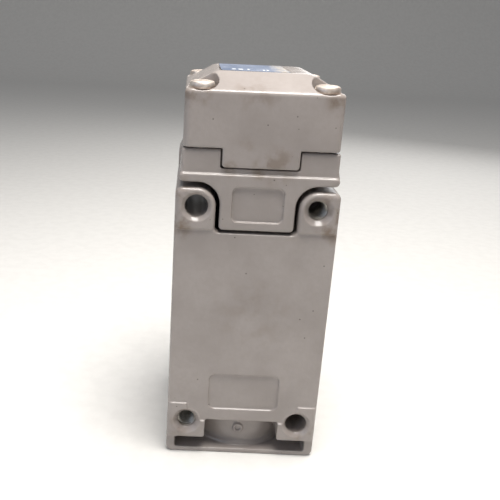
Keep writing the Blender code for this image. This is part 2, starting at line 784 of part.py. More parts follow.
def plunger_guide(finish, spring_finish, parent):
    centre = (0.0, HEAD_Y)
    inner, barrel, flange = 2.3 * MM, 3.7 * MM, 5.2 * MM
    bottom, shoulder, top = 66.3 * MM, 78.8 * MM, 79.6 * MM
    profile = [
        (inner, bottom),
        (barrel, bottom),
        (barrel, shoulder),
        (flange, shoulder),
        (flange, top),
        (inner, top),
    ]
    piece("plunger_guide", Shape().turned(profile, centre, "Z"), finish, parent)
    spring = Shape().coil(centre, 3.3 * MM, 0.25 * MM, (79.9 * MM, 84.5 * MM), 3)
    piece("plunger_spring", spring, spring_finish, parent)


def head_plunger(finish, parent):
    centre = (0.0, HEAD_Y)
    stem = Shape().rod(centre, PLUNGER_RADIUS, (62.1 * MM, 85.5 * MM), "Z")
    flange = Shape().rod(centre, 4.5 * MM, (84.8 * MM, PLUNGER_TOP), "Z")
    join(piece("head_plunger", stem, finish, parent), "flange", flange)


def cam_outline():
    """A base circle with an involute lobe, which lifts a flat follower in proportion to the turn."""
    lobe = []
    steps = 18
    for step in range(steps + 1):
        turn = CAM_ANGLE * step / steps
        lift = CAM_BASE + CAM_RISE * turn
        x = lift * math.sin(turn) + CAM_RISE * math.cos(turn)
        z = -lift * math.cos(turn) + CAM_RISE * math.sin(turn)
        lobe.append((x, SHAFT_Z + z))
    return lobe + arc(0.0, SHAFT_Z, CAM_BASE, 50, 270, 20)


def cam(finish, parent):
    centre = (0.0, SHAFT_Z)
    hub = Shape().rod(centre, CAM_BASE, depths(13.5 * MM, 27.3 * MM), sides=36)
    sleeve = piece("cam", hub, finish, parent)
    join(sleeve, "lobe", Shape().prism(cam_outline(), depths(16.2 * MM, 21.6 * MM)))
    cut(sleeve, "bore", Shape().rod(centre, SHAFT_RADIUS + GAP, depths(12 * MM, 29 * MM)))
    free_play = arc(0.0, SHAFT_Z, 6.0 * MM, 90 - 18.5, 90 + 75 + 18.5, 12)
    cut(sleeve, "free_play", Shape().prism([(0.0, SHAFT_Z), *free_play], depths(24.3 * MM, 29 * MM)))


def shaft(steel, spring_steel, parent):
    centre = (0.0, SHAFT_Z)
    steps = [
        (4.6 * MM, 11.0 * MM, 2.55 * MM),
        (11.0 * MM, 32.3 * MM, SHAFT_RADIUS),
        (32.3 * MM, 33.5 * MM, 2.5 * MM),
        (33.5 * MM, 59.4 * MM, SHAFT_RADIUS),
    ]
    sections = []
    for back, front, radius in steps:
        outline = arc(*centre, radius, 0, 360, SIDES)[:-1]
        sections += [(outline, at_depth(back)), (outline, at_depth(front))]
    tip = arc(*centre, 2.6 * MM, 0, 360, SIDES)[:-1]
    sections.append((tip, at_depth(SHAFT_TIP_DEPTH)))
    bar = piece("operating_shaft", Shape().loft(sections), steel, parent)
    pin_place = (0.0, at_depth(25.8 * MM))
    hole = Shape().rod(pin_place, 1.1 * MM, (SHAFT_Z - 2.5 * MM, SHAFT_Z + 5 * MM), "Z", 16)
    cut(bar, "pin_hole", hole)
    flat = Shape().block((-5 * MM, 5 * MM), depths(46 * MM, 61 * MM), (SHAFT_Z + 2.6 * MM, SHAFT_Z + 5 * MM))
    cut(bar, "flat", flat)
    pin = Shape().rod(pin_place, 0.8 * MM, (SHAFT_Z - 2.2 * MM, SHAFT_Z + 4.7 * MM), "Z", 16)
    piece("drive_pin", pin, spring_steel, parent)
    outer = arc(*centre, 5.0 * MM, -60, 240, 20)
    inner = arc(*centre, 2.85 * MM, 240, -60, 20)
    ring = Shape().prism(outer + inner, depths(32.6 * MM, 33.2 * MM))
    piece("retaining_ring", ring, spring_steel, parent)


def shaft_springs(finish, steel, moving, fixed):
    coil = Shape().coil((0.0, SHAFT_Z), 4.6 * MM, 0.3 * MM, depths(27.8 * MM, 31.6 * MM), 4, "Y")
    piece("torsion_spring", coil, finish, moving)
    washer = Shape().tube((0.0, SHAFT_Z), 3.5 * MM, 5.8 * MM, depths(33.5 * MM, 34.1 * MM))
    piece("thrust_washer", washer, steel, fixed)


def main():
    for leftover in list(bpy.data.objects):
        bpy.data.objects.remove(leftover)

    paint = Finish("grey_paint", (0.40, 0.38, 0.35), 0.45)
    phenolic = Finish("black_phenolic", (0.03, 0.03, 0.03), 0.5)
    nylon = Finish("natural_nylon", (0.75, 0.72, 0.62), 0.5)
    rubber = Finish("black_rubber", (0.02, 0.02, 0.02), 0.8)
    steel = Finish("plated_steel", (0.62, 0.60, 0.56), 0.35, 1.0)
    spring_steel = Finish("spring_steel", (0.45, 0.45, 0.46), 0.35, 1.0)
    brass = Finish("brass", (0.72, 0.55, 0.24), 0.35, 1.0)
    bronze = Finish("sintered_bronze", (0.55, 0.38, 0.2), 0.5, 1.0)
    silver = Finish("silver_alloy", (0.8, 0.79, 0.76), 0.3, 1.0)
    green = Finish("green_steel", (0.05, 0.3, 0.1), 0.4)
    label = Finish("blue_label", (0.14, 0.23, 0.42), 0.5)
    plate = Finish("satin_aluminium", (0.6, 0.6, 0.6), 0.4, 1.0)

    assembly = axis_empty("limit_switch", (0.0, 0.0, 0.0))
    shaft_axis = axis_empty("shaft_axis", (0.0, 0.0, SHAFT_Z), assembly)
    plunger_axis = axis_empty("plunger_axis", (0.0, HEAD_Y, 0.0), assembly)

    receptacle_casting(paint, assembly)
    body_gasket(rubber, assembly)
    terminal_block(phenolic, assembly)
    socket_contacts(brass, assembly)
    terminals(brass, steel, assembly)
    receptacle_screws(steel, green, assembly)

    switch_body_casting(paint, assembly)
    body_screws(steel, nylon, assembly)
    nameplate(plate, steel, assembly)

    contact_block(phenolic, assembly)
    contact_block_screws(steel, assembly)
    fixed_contacts("nc_contact", (1.6 * MM, 5.6 * MM), NC_LEVEL, -1, brass, assembly)
    fixed_contacts("no_contact", (8.4 * MM, 12.4 * MM), NO_LEVEL, 1, brass, assembly)
    bridge("nc_bridge", 50.3 * MM, 1, silver, plunger_axis)
    bridge("no_bridge", 42.3 * MM, -1, silver, plunger_axis)
    contact_carrier(nylon, plunger_axis)
    contact_springs(spring_steel, assembly, plunger_axis)

    head_casting(paint, assembly)
    head_trim(steel, label, rubber, assembly)
    bearings(bronze, rubber, assembly)
    plunger_guide(bronze, spring_steel, assembly)
    head_plunger(steel, plunger_axis)
    cam(bronze, shaft_axis)
    shaft(steel, spring_steel, shaft_axis)
    shaft_springs(spring_steel, steel, shaft_axis, assembly)


main()
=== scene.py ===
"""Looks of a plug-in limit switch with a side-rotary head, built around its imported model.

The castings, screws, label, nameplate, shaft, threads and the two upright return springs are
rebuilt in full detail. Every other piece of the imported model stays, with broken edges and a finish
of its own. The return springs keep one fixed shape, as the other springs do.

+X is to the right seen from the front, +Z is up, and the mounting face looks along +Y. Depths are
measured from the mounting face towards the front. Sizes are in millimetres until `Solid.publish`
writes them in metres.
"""

import json
import logging
import math
from dataclasses import dataclass, field
from enum import Enum
from typing import Iterable, Optional, Sequence, Union

import bmesh
import bpy
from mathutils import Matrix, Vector

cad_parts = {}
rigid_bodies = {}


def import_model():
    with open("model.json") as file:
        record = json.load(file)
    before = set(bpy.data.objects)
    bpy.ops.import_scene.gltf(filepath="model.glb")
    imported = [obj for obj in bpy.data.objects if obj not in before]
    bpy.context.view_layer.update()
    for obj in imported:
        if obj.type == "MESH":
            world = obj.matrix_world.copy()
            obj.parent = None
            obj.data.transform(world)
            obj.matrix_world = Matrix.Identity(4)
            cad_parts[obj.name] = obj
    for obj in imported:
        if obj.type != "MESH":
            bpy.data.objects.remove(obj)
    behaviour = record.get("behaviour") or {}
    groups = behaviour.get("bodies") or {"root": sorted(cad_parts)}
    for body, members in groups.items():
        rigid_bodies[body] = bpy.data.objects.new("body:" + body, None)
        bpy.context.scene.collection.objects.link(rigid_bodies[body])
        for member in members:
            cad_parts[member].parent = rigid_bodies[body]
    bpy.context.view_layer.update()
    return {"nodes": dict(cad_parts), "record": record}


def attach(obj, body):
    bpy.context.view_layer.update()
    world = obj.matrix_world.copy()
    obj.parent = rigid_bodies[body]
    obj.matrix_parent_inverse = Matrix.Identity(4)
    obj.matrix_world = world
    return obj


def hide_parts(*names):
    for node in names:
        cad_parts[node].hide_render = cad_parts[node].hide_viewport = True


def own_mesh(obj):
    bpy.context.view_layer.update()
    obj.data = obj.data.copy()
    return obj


LOG = logging.getLogger("limit_switch")

MM = 0.001
MOUNT_FACE_Y = 30.0
HOUSING = "housing"
SHAFT_BODY = "shaft"

Point = tuple[float, float]
Corner = tuple[float, float, float]
Span = tuple[float, float]
Socket = bpy.types.NodeSocket
Tree = bpy.types.NodeTree


class Axis(Enum):
    """The direction along which an outline is extruded or turned."""

    X = "X"
    Y = "Y"
    Z = "Z"

    def place(self, a: float, b: float, level: float) -> tuple[float, float, float]:
        """Puts an outline point and a level into the part's frame.

        Args:
            a: First coordinate of the outline.
            b: Second coordinate of the outline.
            level: Position along this axis.

        Returns:
            The point as (x, y, z).
        """
        if self is Axis.X:
            return level, a, b
        if self is Axis.Y:
            return a, level, b
        return a, b, level


class Operation(Enum):
    """What a tool does to a target solid."""

    CUT = "DIFFERENCE"
    JOIN = "UNION"


def at_depth(depth: float) -> float:
    """Turns a depth into Y.

    Args:
        depth: Distance in front of the mounting face.

    Returns:
        The Y coordinate.
    """
    return MOUNT_FACE_Y - depth


def depths(back: float, front: float) -> Span:
    """Turns two depths into a Y range.

    Args:
        back: Depth nearer the mounting face.
        front: Depth nearer the front.

    Returns:
        The range, low end first.
    """
    return at_depth(front), at_depth(back)


def linear(colour: str) -> tuple[float, float, float, float]:
    """Converts an sRGB colour.

    Args:
        colour: Hexadecimal colour such as "#A0A0A0".

    Returns:
        Linear red, green, blue and an alpha of one.
    """
    values = [int(colour[i : i + 2], 16) / 255 for i in (1, 3, 5)]
    parts = [v / 12.92 if v <= 0.04045 else ((v + 0.055) / 1.055) ** 2.4 for v in values]
    return parts[0], parts[1], parts[2], 1.0


# Outlines -----------------------------------------------------------------------------------


def arc(centre: Point, radius: float, start: float, end: float, steps: int) -> list[Point]:
    """Points along an arc.

    Args:
        centre: Centre of the arc.
        radius: Radius.
        start: First angle in degrees.
        end: Last angle in degrees.
        steps: Number of chords.

    Returns:
        The points, both ends included.
    """
    angles = [math.radians(start + (end - start) * i / steps) for i in range(steps + 1)]
    return [(centre[0] + radius * math.cos(a), centre[1] + radius * math.sin(a)) for a in angles]


def circle(centre: Point, radius: float, sides: int = 64) -> list[Point]:
    """A closed circle.

    Args:
        centre: Centre.
        radius: Radius.
        sides: Number of chords.

    Returns:
        The points, the first not repeated.
    """
    return arc(centre, radius, 0.0, 360.0, sides)[:-1]


def both_sides(corners: Sequence[Corner]) -> list[Corner]:
    """Mirrors a right half.

    Args:
        corners: Corners with x above zero, in order from the bottom.

    Returns:
        The corners followed by their mirror images.
    """
    return list(corners) + [(-x, y, r) for x, y, r in reversed(corners)]


def inset(corners: Sequence[Corner], amount: float) -> list[Corner]:
    """Moves every edge of an outline inwards, keeping its rounded corners concentric.

    Args:
        corners: Anticlockwise (x, y, radius) corners.
        amount: Distance inwards.

    Returns:
        The moved corners.
    """
    smallest = 0.05
    moved = []
    for index, (x, y, radius) in enumerate(corners):
        before, after = corners[index - 1], corners[(index + 1) % len(corners)]
        a = Vector((before[0] - x, before[1] - y)).normalized()
        b = Vector((after[0] - x, after[1] - y)).normalized()
        convex = b.x * a.y - b.y * a.x > 0
        half = math.acos(max(-1.0, min(1.0, a.dot(b)))) / 2
        step = (a + b).normalized() * (amount / math.sin(half)) * (1 if convex else -1)
        new_radius = max(smallest, radius - amount) if convex else radius + amount
        moved.append((x + step.x, y + step.y, new_radius))
    return moved


def rounded(corners: Sequence[Corner], steps: int = 10) -> list[Point]:
    """Rounds the corners of an outline with tangent arcs.

    Args:
        corners: (x, y, radius) corners.
        steps: Chords in each arc.

    Returns:
        The closed outline.
    """
    outline: list[Point] = []
    for index, (x, y, radius) in enumerate(corners):
        if radius <= 0:
            outline.append((x, y))
            continue
        before, after = corners[index - 1], corners[(index + 1) % len(corners)]
        a = Vector((before[0] - x, before[1] - y)).normalized()
        b = Vector((after[0] - x, after[1] - y)).normalized()
        half = math.acos(max(-1.0, min(1.0, a.dot(b)))) / 2
        middle = Vector((x, y)) + (a + b).normalized() * (radius / math.sin(half))
        setback = radius / math.tan(half)
        first = Vector((x, y)) + a * setback - middle
        last = Vector((x, y)) + b * setback - middle
        start = math.atan2(first.y, first.x)
        sweep = (math.atan2(last.y, last.x) - start + math.pi) % (2 * math.pi) - math.pi
        for step in range(steps + 1):
            angle = start + sweep * step / steps
            outline.append((middle.x + radius * math.cos(angle), middle.y + radius * math.sin(angle)))
    return outline


def box_corners(x: Span, y: Span, radius: float) -> list[Corner]:
    """The corners of a rectangle.

    Args:
        x: Range of the first coordinate.
        y: Range of the second coordinate.
        radius: Radius of all four corners.

    Returns:
        Anticlockwise corners.
    """
    return [(x[0], y[0], radius), (x[1], y[0], radius), (x[1], y[1], radius), (x[0], y[1], radius)]


# Solids -------------------------------------------------------------------------------------


class Solid:
    """Closed solids gathered in one mesh, in millimetres."""

    def __init__(self) -> None:
        """Starts with an empty mesh."""
        self.mesh = bmesh.new()

    def _ring(self, outline: Iterable[Point], level: float, axis: Axis) -> list[bmesh.types.BMVert]:
        """Adds the points of one section.

        Args:
            outline: Points of the section.
            level: Its position along the axis.
            axis: Direction of the levels.

        Returns:
            The new vertices in order.
        """
        return [self.mesh.verts.new(axis.place(a, b, level)) for a, b in outline]

    def _bridge(self, low: Sequence, high: Sequence) -> None:
        """Joins two sections with a band of four-sided faces.

        Args:
            low: Vertices of the first section.
            high: Vertices of the second, as many as the first.
        """
        for i in range(len(low)):
            j = (i + 1) % len(low)
            self.mesh.faces.new((low[i], low[j], high[j], high[i]))

    def loft(self, sections: Sequence[tuple[Sequence[Point], float]], axis: Axis = Axis.Y) -> "Solid":
        """Adds a solid through sections with equal numbers of points.

        Args:
            sections: (outline, level) pairs in order.
            axis: Direction of the levels.

        Returns:
            This solid.
        """
        rings = [self._ring(outline, level, axis) for outline, level in sections]
        for low, high in zip(rings, rings[1:]):
            self._bridge(low, high)
        self.mesh.faces.new(rings[0])
        self.mesh.faces.new(rings[-1])
        return self

    def prism(self, outline: Sequence[Point], span: Span, axis: Axis = Axis.Y) -> "Solid":
        """Adds an extruded outline.

        Args:
            outline: Closed outline.
            span: Range along the axis.
            axis: Direction of extrusion.

        Returns:
            This solid.
        """
        return self.loft([(outline, span[0]), (outline, span[1])], axis)

    def soft_prism(
        self, corners: Sequence[Corner], span: Span, radii: Span, axis: Axis = Axis.Y, steps: int = 5
    ) -> "Solid":
        """Adds an extruded outline whose two end edges are rounded over.

        Args:
            corners: Anticlockwise corners of the full outline.
            span: Range along the axis.
            radii: Edge radius at the low end and at the high end.
            axis: Direction of extrusion.
            steps: Chords in each rounded edge.

        Returns:
            This solid.
        """
        sections = []
        for step in range(steps + 1):
            angle = math.pi / 2 * step / steps
            level = span[0] + radii[0] * (1 - math.sin(angle))
            sections.append((rounded(inset(corners, radii[0] * (1 - math.cos(angle)))), level))
        sections.reverse()
        for step in range(steps + 1):
            angle = math.pi / 2 * step / steps
            level = span[1] - radii[1] * (1 - math.sin(angle))
            sections.append((rounded(inset(corners, radii[1] * (1 - math.cos(angle)))), level))
        sections.sort(key=lambda section: section[1])
        return self.loft(sections, axis)

    def rod(self, centre: Point, radius: float, span: Span, axis: Axis = Axis.Y, sides: int = 48) -> "Solid":
        """Adds a straight round bar.

        Args:
            centre: Centre of its outline.
            radius: Radius.
            span: Range along the axis.
            axis: Its direction.
            sides: Chords around it.

        Returns:
            This solid.
        """
        return self.prism(circle(centre, radius, sides), span, axis)

    def stepped(
        self, centre: Point, profile: Sequence[Point], axis: Axis = Axis.Y, sides: int = 48
    ) -> "Solid":
        """Adds a solid bar of changing radius.

        Args:
            centre: Centre of its outline.
            profile: (radius, level) pairs in order.
            axis: Its direction.
            sides: Chords around it.

        Returns:
            This solid.
        """
        return self.loft([(circle(centre, radius, sides), level) for radius, level in profile], axis)

    def turned(
        self, centre: Point, profile: Sequence[Point], axis: Axis = Axis.Y, sides: int = 64
    ) -> "Solid":
        """Adds a ring turned from a closed profile clear of the axis.

        Args:
            centre: Centre of the ring.
            profile: Closed (radius, level) profile.
            axis: Its direction.
            sides: Chords around it.

        Returns:
            This solid.
        """
        rings = [self._ring(circle(centre, radius, sides), level, axis) for radius, level in profile]
        for index, low in enumerate(rings):
            self._bridge(low, rings[(index + 1) % len(rings)])
        return self

    def thread(
        self, centre: Point, crest: float, root: float, pitch: float, span: Span, axis: Axis = Axis.Y
    ) -> "Solid":
        """Adds one helical ridge, as a tap leaves it.

        Args:
            centre: Centre of the helix.
            crest: Radius at the ridge's crest.
            root: Radius at its foot.
            pitch: Distance between turns.
            span: Range along the axis that the ridge stays in.
            axis: Its direction.

        Returns:
            This solid.
        """
        per_turn = 40
        foot, tip = 0.44 * pitch, 0.07 * pitch
        low, high = span[0] + foot, span[1] - foot
        count = int((high - low) / pitch * per_turn)
        previous = None
        for step in range(count + 1):
            angle = 2 * math.pi * step / per_turn
            level = low + pitch * step / per_turn
            fade = min(1.0, step / per_turn * 2, (count - step) / per_turn * 2)
            top = root + (crest - root) * max(0.08, fade)
            ring = []
            for radius, offset in ((root, -foot), (top, -tip), (top, tip), (root, foot)):
                a = centre[0] + radius * math.cos(angle)
                b = centre[1] + radius * math.sin(angle)
                ring.append(self.mesh.verts.new(axis.place(a, b, level + offset)))
            if previous is None:
                self.mesh.faces.new(ring)
            else:
                self._bridge(previous, ring)
            previous = ring
        self.mesh.faces.new(previous)
        return self

    def coil(self, centre: Point, radius: float, wire: float, span: Span, turns: int) -> "Solid":
        """Adds an upright coil spring.

        Args:
            centre: Centre of the coil, as (x, y).
            radius: Radius of the wire's centre line.
            wire: Radius of the wire.
            span: Range of z that the wire stays in.
            turns: Number of turns.

        Returns:
            This solid.
        """
        per_turn, sides = 40, 10
        low, high, count = span[0] + wire, span[1] - wire, turns * per_turn
        previous = None
        for step in range(count + 1):
            angle, level = 2 * math.pi * step / per_turn, low + (high - low) * step / count
            ring = []
            for side in range(sides):
                around = 2 * math.pi * side / sides
                reach = radius + wire * math.cos(around)
                x, y = centre[0] + reach * math.cos(angle), centre[1] + reach * math.sin(angle)
                ring.append(self.mesh.verts.new((x, y, level + wire * math.sin(around))))
            if previous is None:
                self.mesh.faces.new(ring)
            else:
                self._bridge(previous, ring)
            previous = ring
        self.mesh.faces.new(previous)
        return self

    def publish(self, name: str, sharp: float = 35.0) -> bpy.types.Object:
        """Writes the solids to an object, in metres.

        Args:
            name: Name of the object.
            sharp: Angle in degrees above which an edge is shaded sharp.

        Returns:
            The new object.
        """
        bmesh.ops.scale(self.mesh, vec=(MM, MM, MM), verts=self.mesh.verts)
        bmesh.ops.recalc_face_normals(self.mesh, faces=self.mesh.faces)
        mesh = bpy.data.meshes.new(name)
        self.mesh.to_mesh(mesh)
        self.mesh.free()
        mesh.shade_smooth()
        mesh.set_sharp_from_angle(angle=math.radians(sharp))
        made = bpy.data.objects.new(name, mesh)
        bpy.context.scene.collection.objects.link(made)
        return made


def bake(target: bpy.types.Object) -> None:
    """Applies all of an object's modifiers.

    Args:
        target: The object, whose mesh is replaced.
    """
    graph = bpy.context.evaluated_depsgraph_get()
    mesh = bpy.data.meshes.new_from_object(target.evaluated_get(graph))
    old = target.data
    target.modifiers.clear()
    target.data = mesh
    bpy.data.meshes.remove(old)
    mesh.name = target.name


def work(target: bpy.types.Object, operation: Operation, tool: Solid) -> None:
    """Cuts a tool out of a target, or joins it on.

    Args:
        target: Object to change.
        operation: What the tool does.
        tool: The tool, used up here.
    """
    shape = tool.publish(f"{target.name}_tool")
    step = target.modifiers.new("work", "BOOLEAN")
    step.operation = operation.value
    step.solver = "EXACT"
    step.object = shape
    bake(target)
    bpy.data.objects.remove(shape)


def cast_skin(target: bpy.types.Object, grain: float, rounds: int, keep: float) -> None:
    """Gives a solid the softened edges of a die casting under paint.

    Args:
        target: Object to change.
        grain: Size of the rebuilt mesh's cells in millimetres.
        rounds: How often edges are relaxed; more rounds give larger fillets.
        keep: Share of the rebuilt faces that stay after thinning.
    """
    remesh = target.modifiers.new("skin", "REMESH")
    remesh.mode = "VOXEL"
    remesh.voxel_size = grain * MM
    remesh.use_smooth_shade = True
    relax = target.modifiers.new("relax", "SMOOTH")
    relax.factor = 0.5
    relax.iterations = rounds
    thin = target.modifiers.new("thin", "DECIMATE")
    thin.ratio = keep
    bake(target)
    target.data.shade_smooth()
    even = target.modifiers.new("even", "WEIGHTED_NORMAL")
    even.keep_sharp = True
    bake(target)


# Materials ----------------------------------------------------------------------------------


def add(
    tree: Tree, kind: str, inputs: Optional[dict[Union[str, int], object]] = None, **settings: object
) -> bpy.types.Node:
    """Adds one node with its settings, and fills or links its inputs.

    Args:
        tree: Tree that the node goes in.
        kind: Node type.
        inputs: Value or source socket for each input, by name or place.
        settings: The node's own properties.

    Returns:
        The new node.
    """
    node = tree.nodes.new(kind)
    for key, value in settings.items():
        setattr(node, key, value)
    for key, value in (inputs or {}).items():
        if isinstance(value, Socket):
            tree.links.new(value, node.inputs[key])
        else:
            node.inputs[key].default_value = value
    return node


class Pattern:
    """Builds the usual parts of a finish in one node tree, from sizes in millimetres."""

    MIX_FACTOR, MIX_A, MIX_B, MIX_RESULT = 0, 6, 7, 2

    def __init__(self, tree: Tree) -> None:
        """Takes the tree and reads places on the object.

        Args:
            tree: Node tree of the material.
        """
        self.tree = tree
        self.place = add(tree, "ShaderNodeTexCoord").outputs["Object"]

    def noise(
        self, size: float, detail: float = 3.0, stretch: tuple[float, float, float] = (1.0, 1.0, 1.0)
    ) -> Socket:
        """Cloudy variation.

        Args:
            size: Width of a typical patch.
            detail: Octaves of finer variation.
            stretch: Factor on the place along each axis.

        Returns:
            A value from 0 to 1.
        """
        place = add(
            self.tree, "ShaderNodeVectorMath", {0: self.place, 1: stretch}, operation="MULTIPLY"
        ).outputs[0]
        inputs = {"Vector": place, "Scale": 1 / (size * MM), "Detail": detail, "Roughness": 0.55}
        return add(self.tree, "ShaderNodeTexNoise", inputs).outputs[0]

    def cells(self, size: float) -> Socket:
        """Distance to scattered points, for specks and pores.

        Args:
            size: Typical distance between points.

        Returns:
            Zero at a point, growing outwards.
        """
        inputs = {"Vector": self.place, "Scale": 1 / (size * MM)}
        return add(self.tree, "ShaderNodeTexVoronoi", inputs).outputs["Distance"]

    def ramp(self, value: Socket, span: Span, out: Span = (0.0, 1.0)) -> Socket:
        """Maps a value smoothly from one range to another.

        Args:
            value: Source.
            span: Range that it is read over.
            out: Results at the two ends.

        Returns:
            The mapped value.
        """
        inputs = {0: value, 1: span[0], 2: span[1], 3: out[0], 4: out[1]}
        return add(
            self.tree, "ShaderNodeMapRange", inputs, interpolation_type="SMOOTHSTEP"
        ).outputs[0]

    def both(self, first: Socket, second: Union[Socket, float]) -> Socket:
        """Multiplies two masks.

        Args:
            first: A mask.
            second: Another mask, or a strength.

        Returns:
            Their product.
        """
        return add(
            self.tree, "ShaderNodeMath", {0: first, 1: second}, operation="MULTIPLY"
        ).outputs[0]

    def mix(self, factor: Socket, first: object, second: object) -> Socket:
        """Mixes two colours.

        Args:
            factor: Share of the second.
            first: Colour or socket.
            second: Colour or socket.

        Returns:
            The mixed colour.
        """
        inputs = {self.MIX_FACTOR: factor, self.MIX_A: first, self.MIX_B: second}
        return add(self.tree, "ShaderNodeMix", inputs, data_type="RGBA").outputs[self.MIX_RESULT]

    def near(self, centre: Sequence[float], radius: float, edge: float) -> Socket:
        """A soft round mask about a place on the part.

        Args:
            centre: (x, y, z) of the middle.
            radius: Where it has faded out.
            edge: Width of its soft edge.

        Returns:
            One inside, zero outside.
        """
        middle = tuple(value * MM for value in centre)
        reach = add(
            self.tree, "ShaderNodeVectorMath", {0: self.place, 1: middle}, operation="DISTANCE"
        ).outputs["Value"]
        return self.ramp(reach, ((radius - edge) * MM, radius * MM), (1.0, 0.0))

    def edges(self, radius: float) -> Socket:
        """Finds convex and concave edges.

        Args:
            radius: How far from an edge the mask reaches.

        Returns:
            Above zero near an edge.
        """
        soft = add(self.tree, "ShaderNodeBevel", {"Radius": radius * MM}, samples=4).outputs[0]
        plain = add(self.tree, "ShaderNodeNewGeometry").outputs["Normal"]
        match = add(self.tree, "ShaderNodeVectorMath", {0: soft, 1: plain}, operation="DOT_PRODUCT")
        return self.ramp(match.outputs["Value"], (0.82, 0.995), (1.0, 0.0))

    def bump(self, height: Socket, depth: float, under: Optional[Socket] = None) -> Socket:
        """Raises the surface by a pattern.

        Args:
            height: The pattern, 0 to 1.
            depth: Height of its highest point in millimetres.
            under: Normal of the bump below this one.

        Returns:
            The new normal.
        """
        inputs: dict[Union[str, int], object] = {"Height": height, "Distance": depth * MM, "Strength": 1.0}
        if under is not None:
            inputs["Normal"] = under
        return add(self.tree, "ShaderNodeBump", inputs).outputs[0]


@dataclass(frozen=True)
class Stain:
    """A place where handling or oil has marked a surface."""

    centre: tuple[float, float, float]
    radius: float
    strength: float


# Where bolts, hands and oil have marked the case: the pads, the tab's seam and the head's edge.
HANDLING_STAINS = (
    Stain((19.0, 30.0, 65.5), 5.5, 0.85),
    Stain((19.0, 30.0, 74.0), 4.5, 0.7),
    Stain((-19.0, 30.0, 66.0), 6.0, 0.85),
    Stain((-19.0, 30.0, 73.0), 5.0, 0.8),
    Stain((-16.5, 30.0, 8.0), 5.0, 0.45),
    Stain((17.0, 30.0, 8.0), 5.0, 0.4),
    Stain((-3.5, 29.6, 80.2), 6.5, 0.5),
    Stain((4.5, 29.6, 84.5), 4.0, 0.2),
    Stain((-1.0, 29.5, 42.0), 13.0, 0.16),
    Stain((-17.5, 29.0, 96.5), 5.0, 0.85),
    Stain((16.5, 29.0, 97.0), 5.5, 0.8),
    Stain((2.0, 29.4, 97.6), 7.0, 0.4),
    Stain((0.0, 29.6, 79.1), 3.0, 0.8),
    Stain((7.0, 29.6, 79.1), 2.5, 0.7),
)


@dataclass(frozen=True)
class Finish:
    """Common part of all finishes: a named material made once."""

    name: str
    slot: str

    def build(self) -> bpy.types.Material:
        """Makes the material.

        Returns:
            The material with its node tree.
        """
        material = bpy.data.materials.new(self.name)
        material.use_nodes = True
        shader = material.node_tree.nodes["Principled BSDF"]
        self.dress(Pattern(material.node_tree), shader)
        return material

    def dress(self, pattern: Pattern, shader: bpy.types.Node) -> None:
        """Fills the shader.

        Args:
            pattern: Helper for this material's tree.
            shader: Its surface shader.
        """
        raise NotImplementedError


@dataclass(frozen=True)
class CastEnamel(Finish):
    """Stoved enamel on a zinc die casting: a satin skin with a fine orange peel over soft edges.

    The eye gets broad cloudy tone, pinhead specks of dust in the paint, edges darker where the paint
    is rubbed, darker concave creases and brown handling stains where the part is gripped or bolted down.
    """

    paint: str = "#9D9590"
    shade: str = "#908883"
    stain: str = "#6F5D4D"
    edge_crease_colour: str = "#57504A"
    speck: str = "#4A423B"
    stains: tuple[Stain, ...] = ()

    def dress(self, pattern: Pattern, shader: bpy.types.Node) -> None:
        """Lays down clouded paint, then stains, darker rubbed edges and darker concave creases, specks and
        the orange peel.

        Args:
            pattern: Helper for this material's tree.
            shader: Its surface shader.
        """
        tree = pattern.tree
        cloud = pattern.ramp(pattern.noise(16.0, 4.0), (0.3, 0.72))
        colour = pattern.mix(cloud, linear(self.paint), linear(self.shade))
        grain = pattern.ramp(pattern.noise(1.3, 2.0), (0.35, 0.7), (0.0, 0.22))
        colour = pattern.mix(grain, colour, linear(self.shade))

        patches = pattern.ramp(pattern.noise(3.6, 7.0), (0.4, 0.68))
        for stain in self.stains:
            mask = pattern.near(stain.centre, stain.radius, stain.radius * 0.7)
            mask = pattern.both(pattern.both(mask, patches), stain.strength)
            colour = pattern.mix(mask, colour, linear(self.stain))

        # Darker colour along convex edges, where the paint is rubbed, and in concave creases: the edge mask
        # finds both kinds, broken up by noise.
        rubbed = pattern.ramp(pattern.noise(2.1, 6.0), (0.5, 0.66))
        edge_crease_mask = pattern.both(pattern.both(pattern.edges(0.5), rubbed), 0.75)
        colour = pattern.mix(edge_crease_mask, colour, linear(self.edge_crease_colour))

        speck = pattern.ramp(pattern.cells(2.6), (0.05, 0.085), (1.0, 0.0))
        sparse = pattern.ramp(pattern.noise(5.0, 1.0), (0.52, 0.58))
        speck = pattern.both(pattern.both(speck, sparse), 0.75)
        colour = pattern.mix(speck, colour, linear(self.speck))
        tree.links.new(colour, shader.inputs["Base Color"])

        rough = pattern.ramp(pattern.noise(4.0, 3.0), (0.3, 0.7), (0.15, 0.27))
        tree.links.new(rough, shader.inputs["Roughness"])
        peel = pattern.bump(pattern.noise(0.9, 2.0), 0.03)
        fine = pattern.bump(pattern.noise(0.24, 2.0), 0.006, peel)
        tree.links.new(fine, shader.inputs["Normal"])


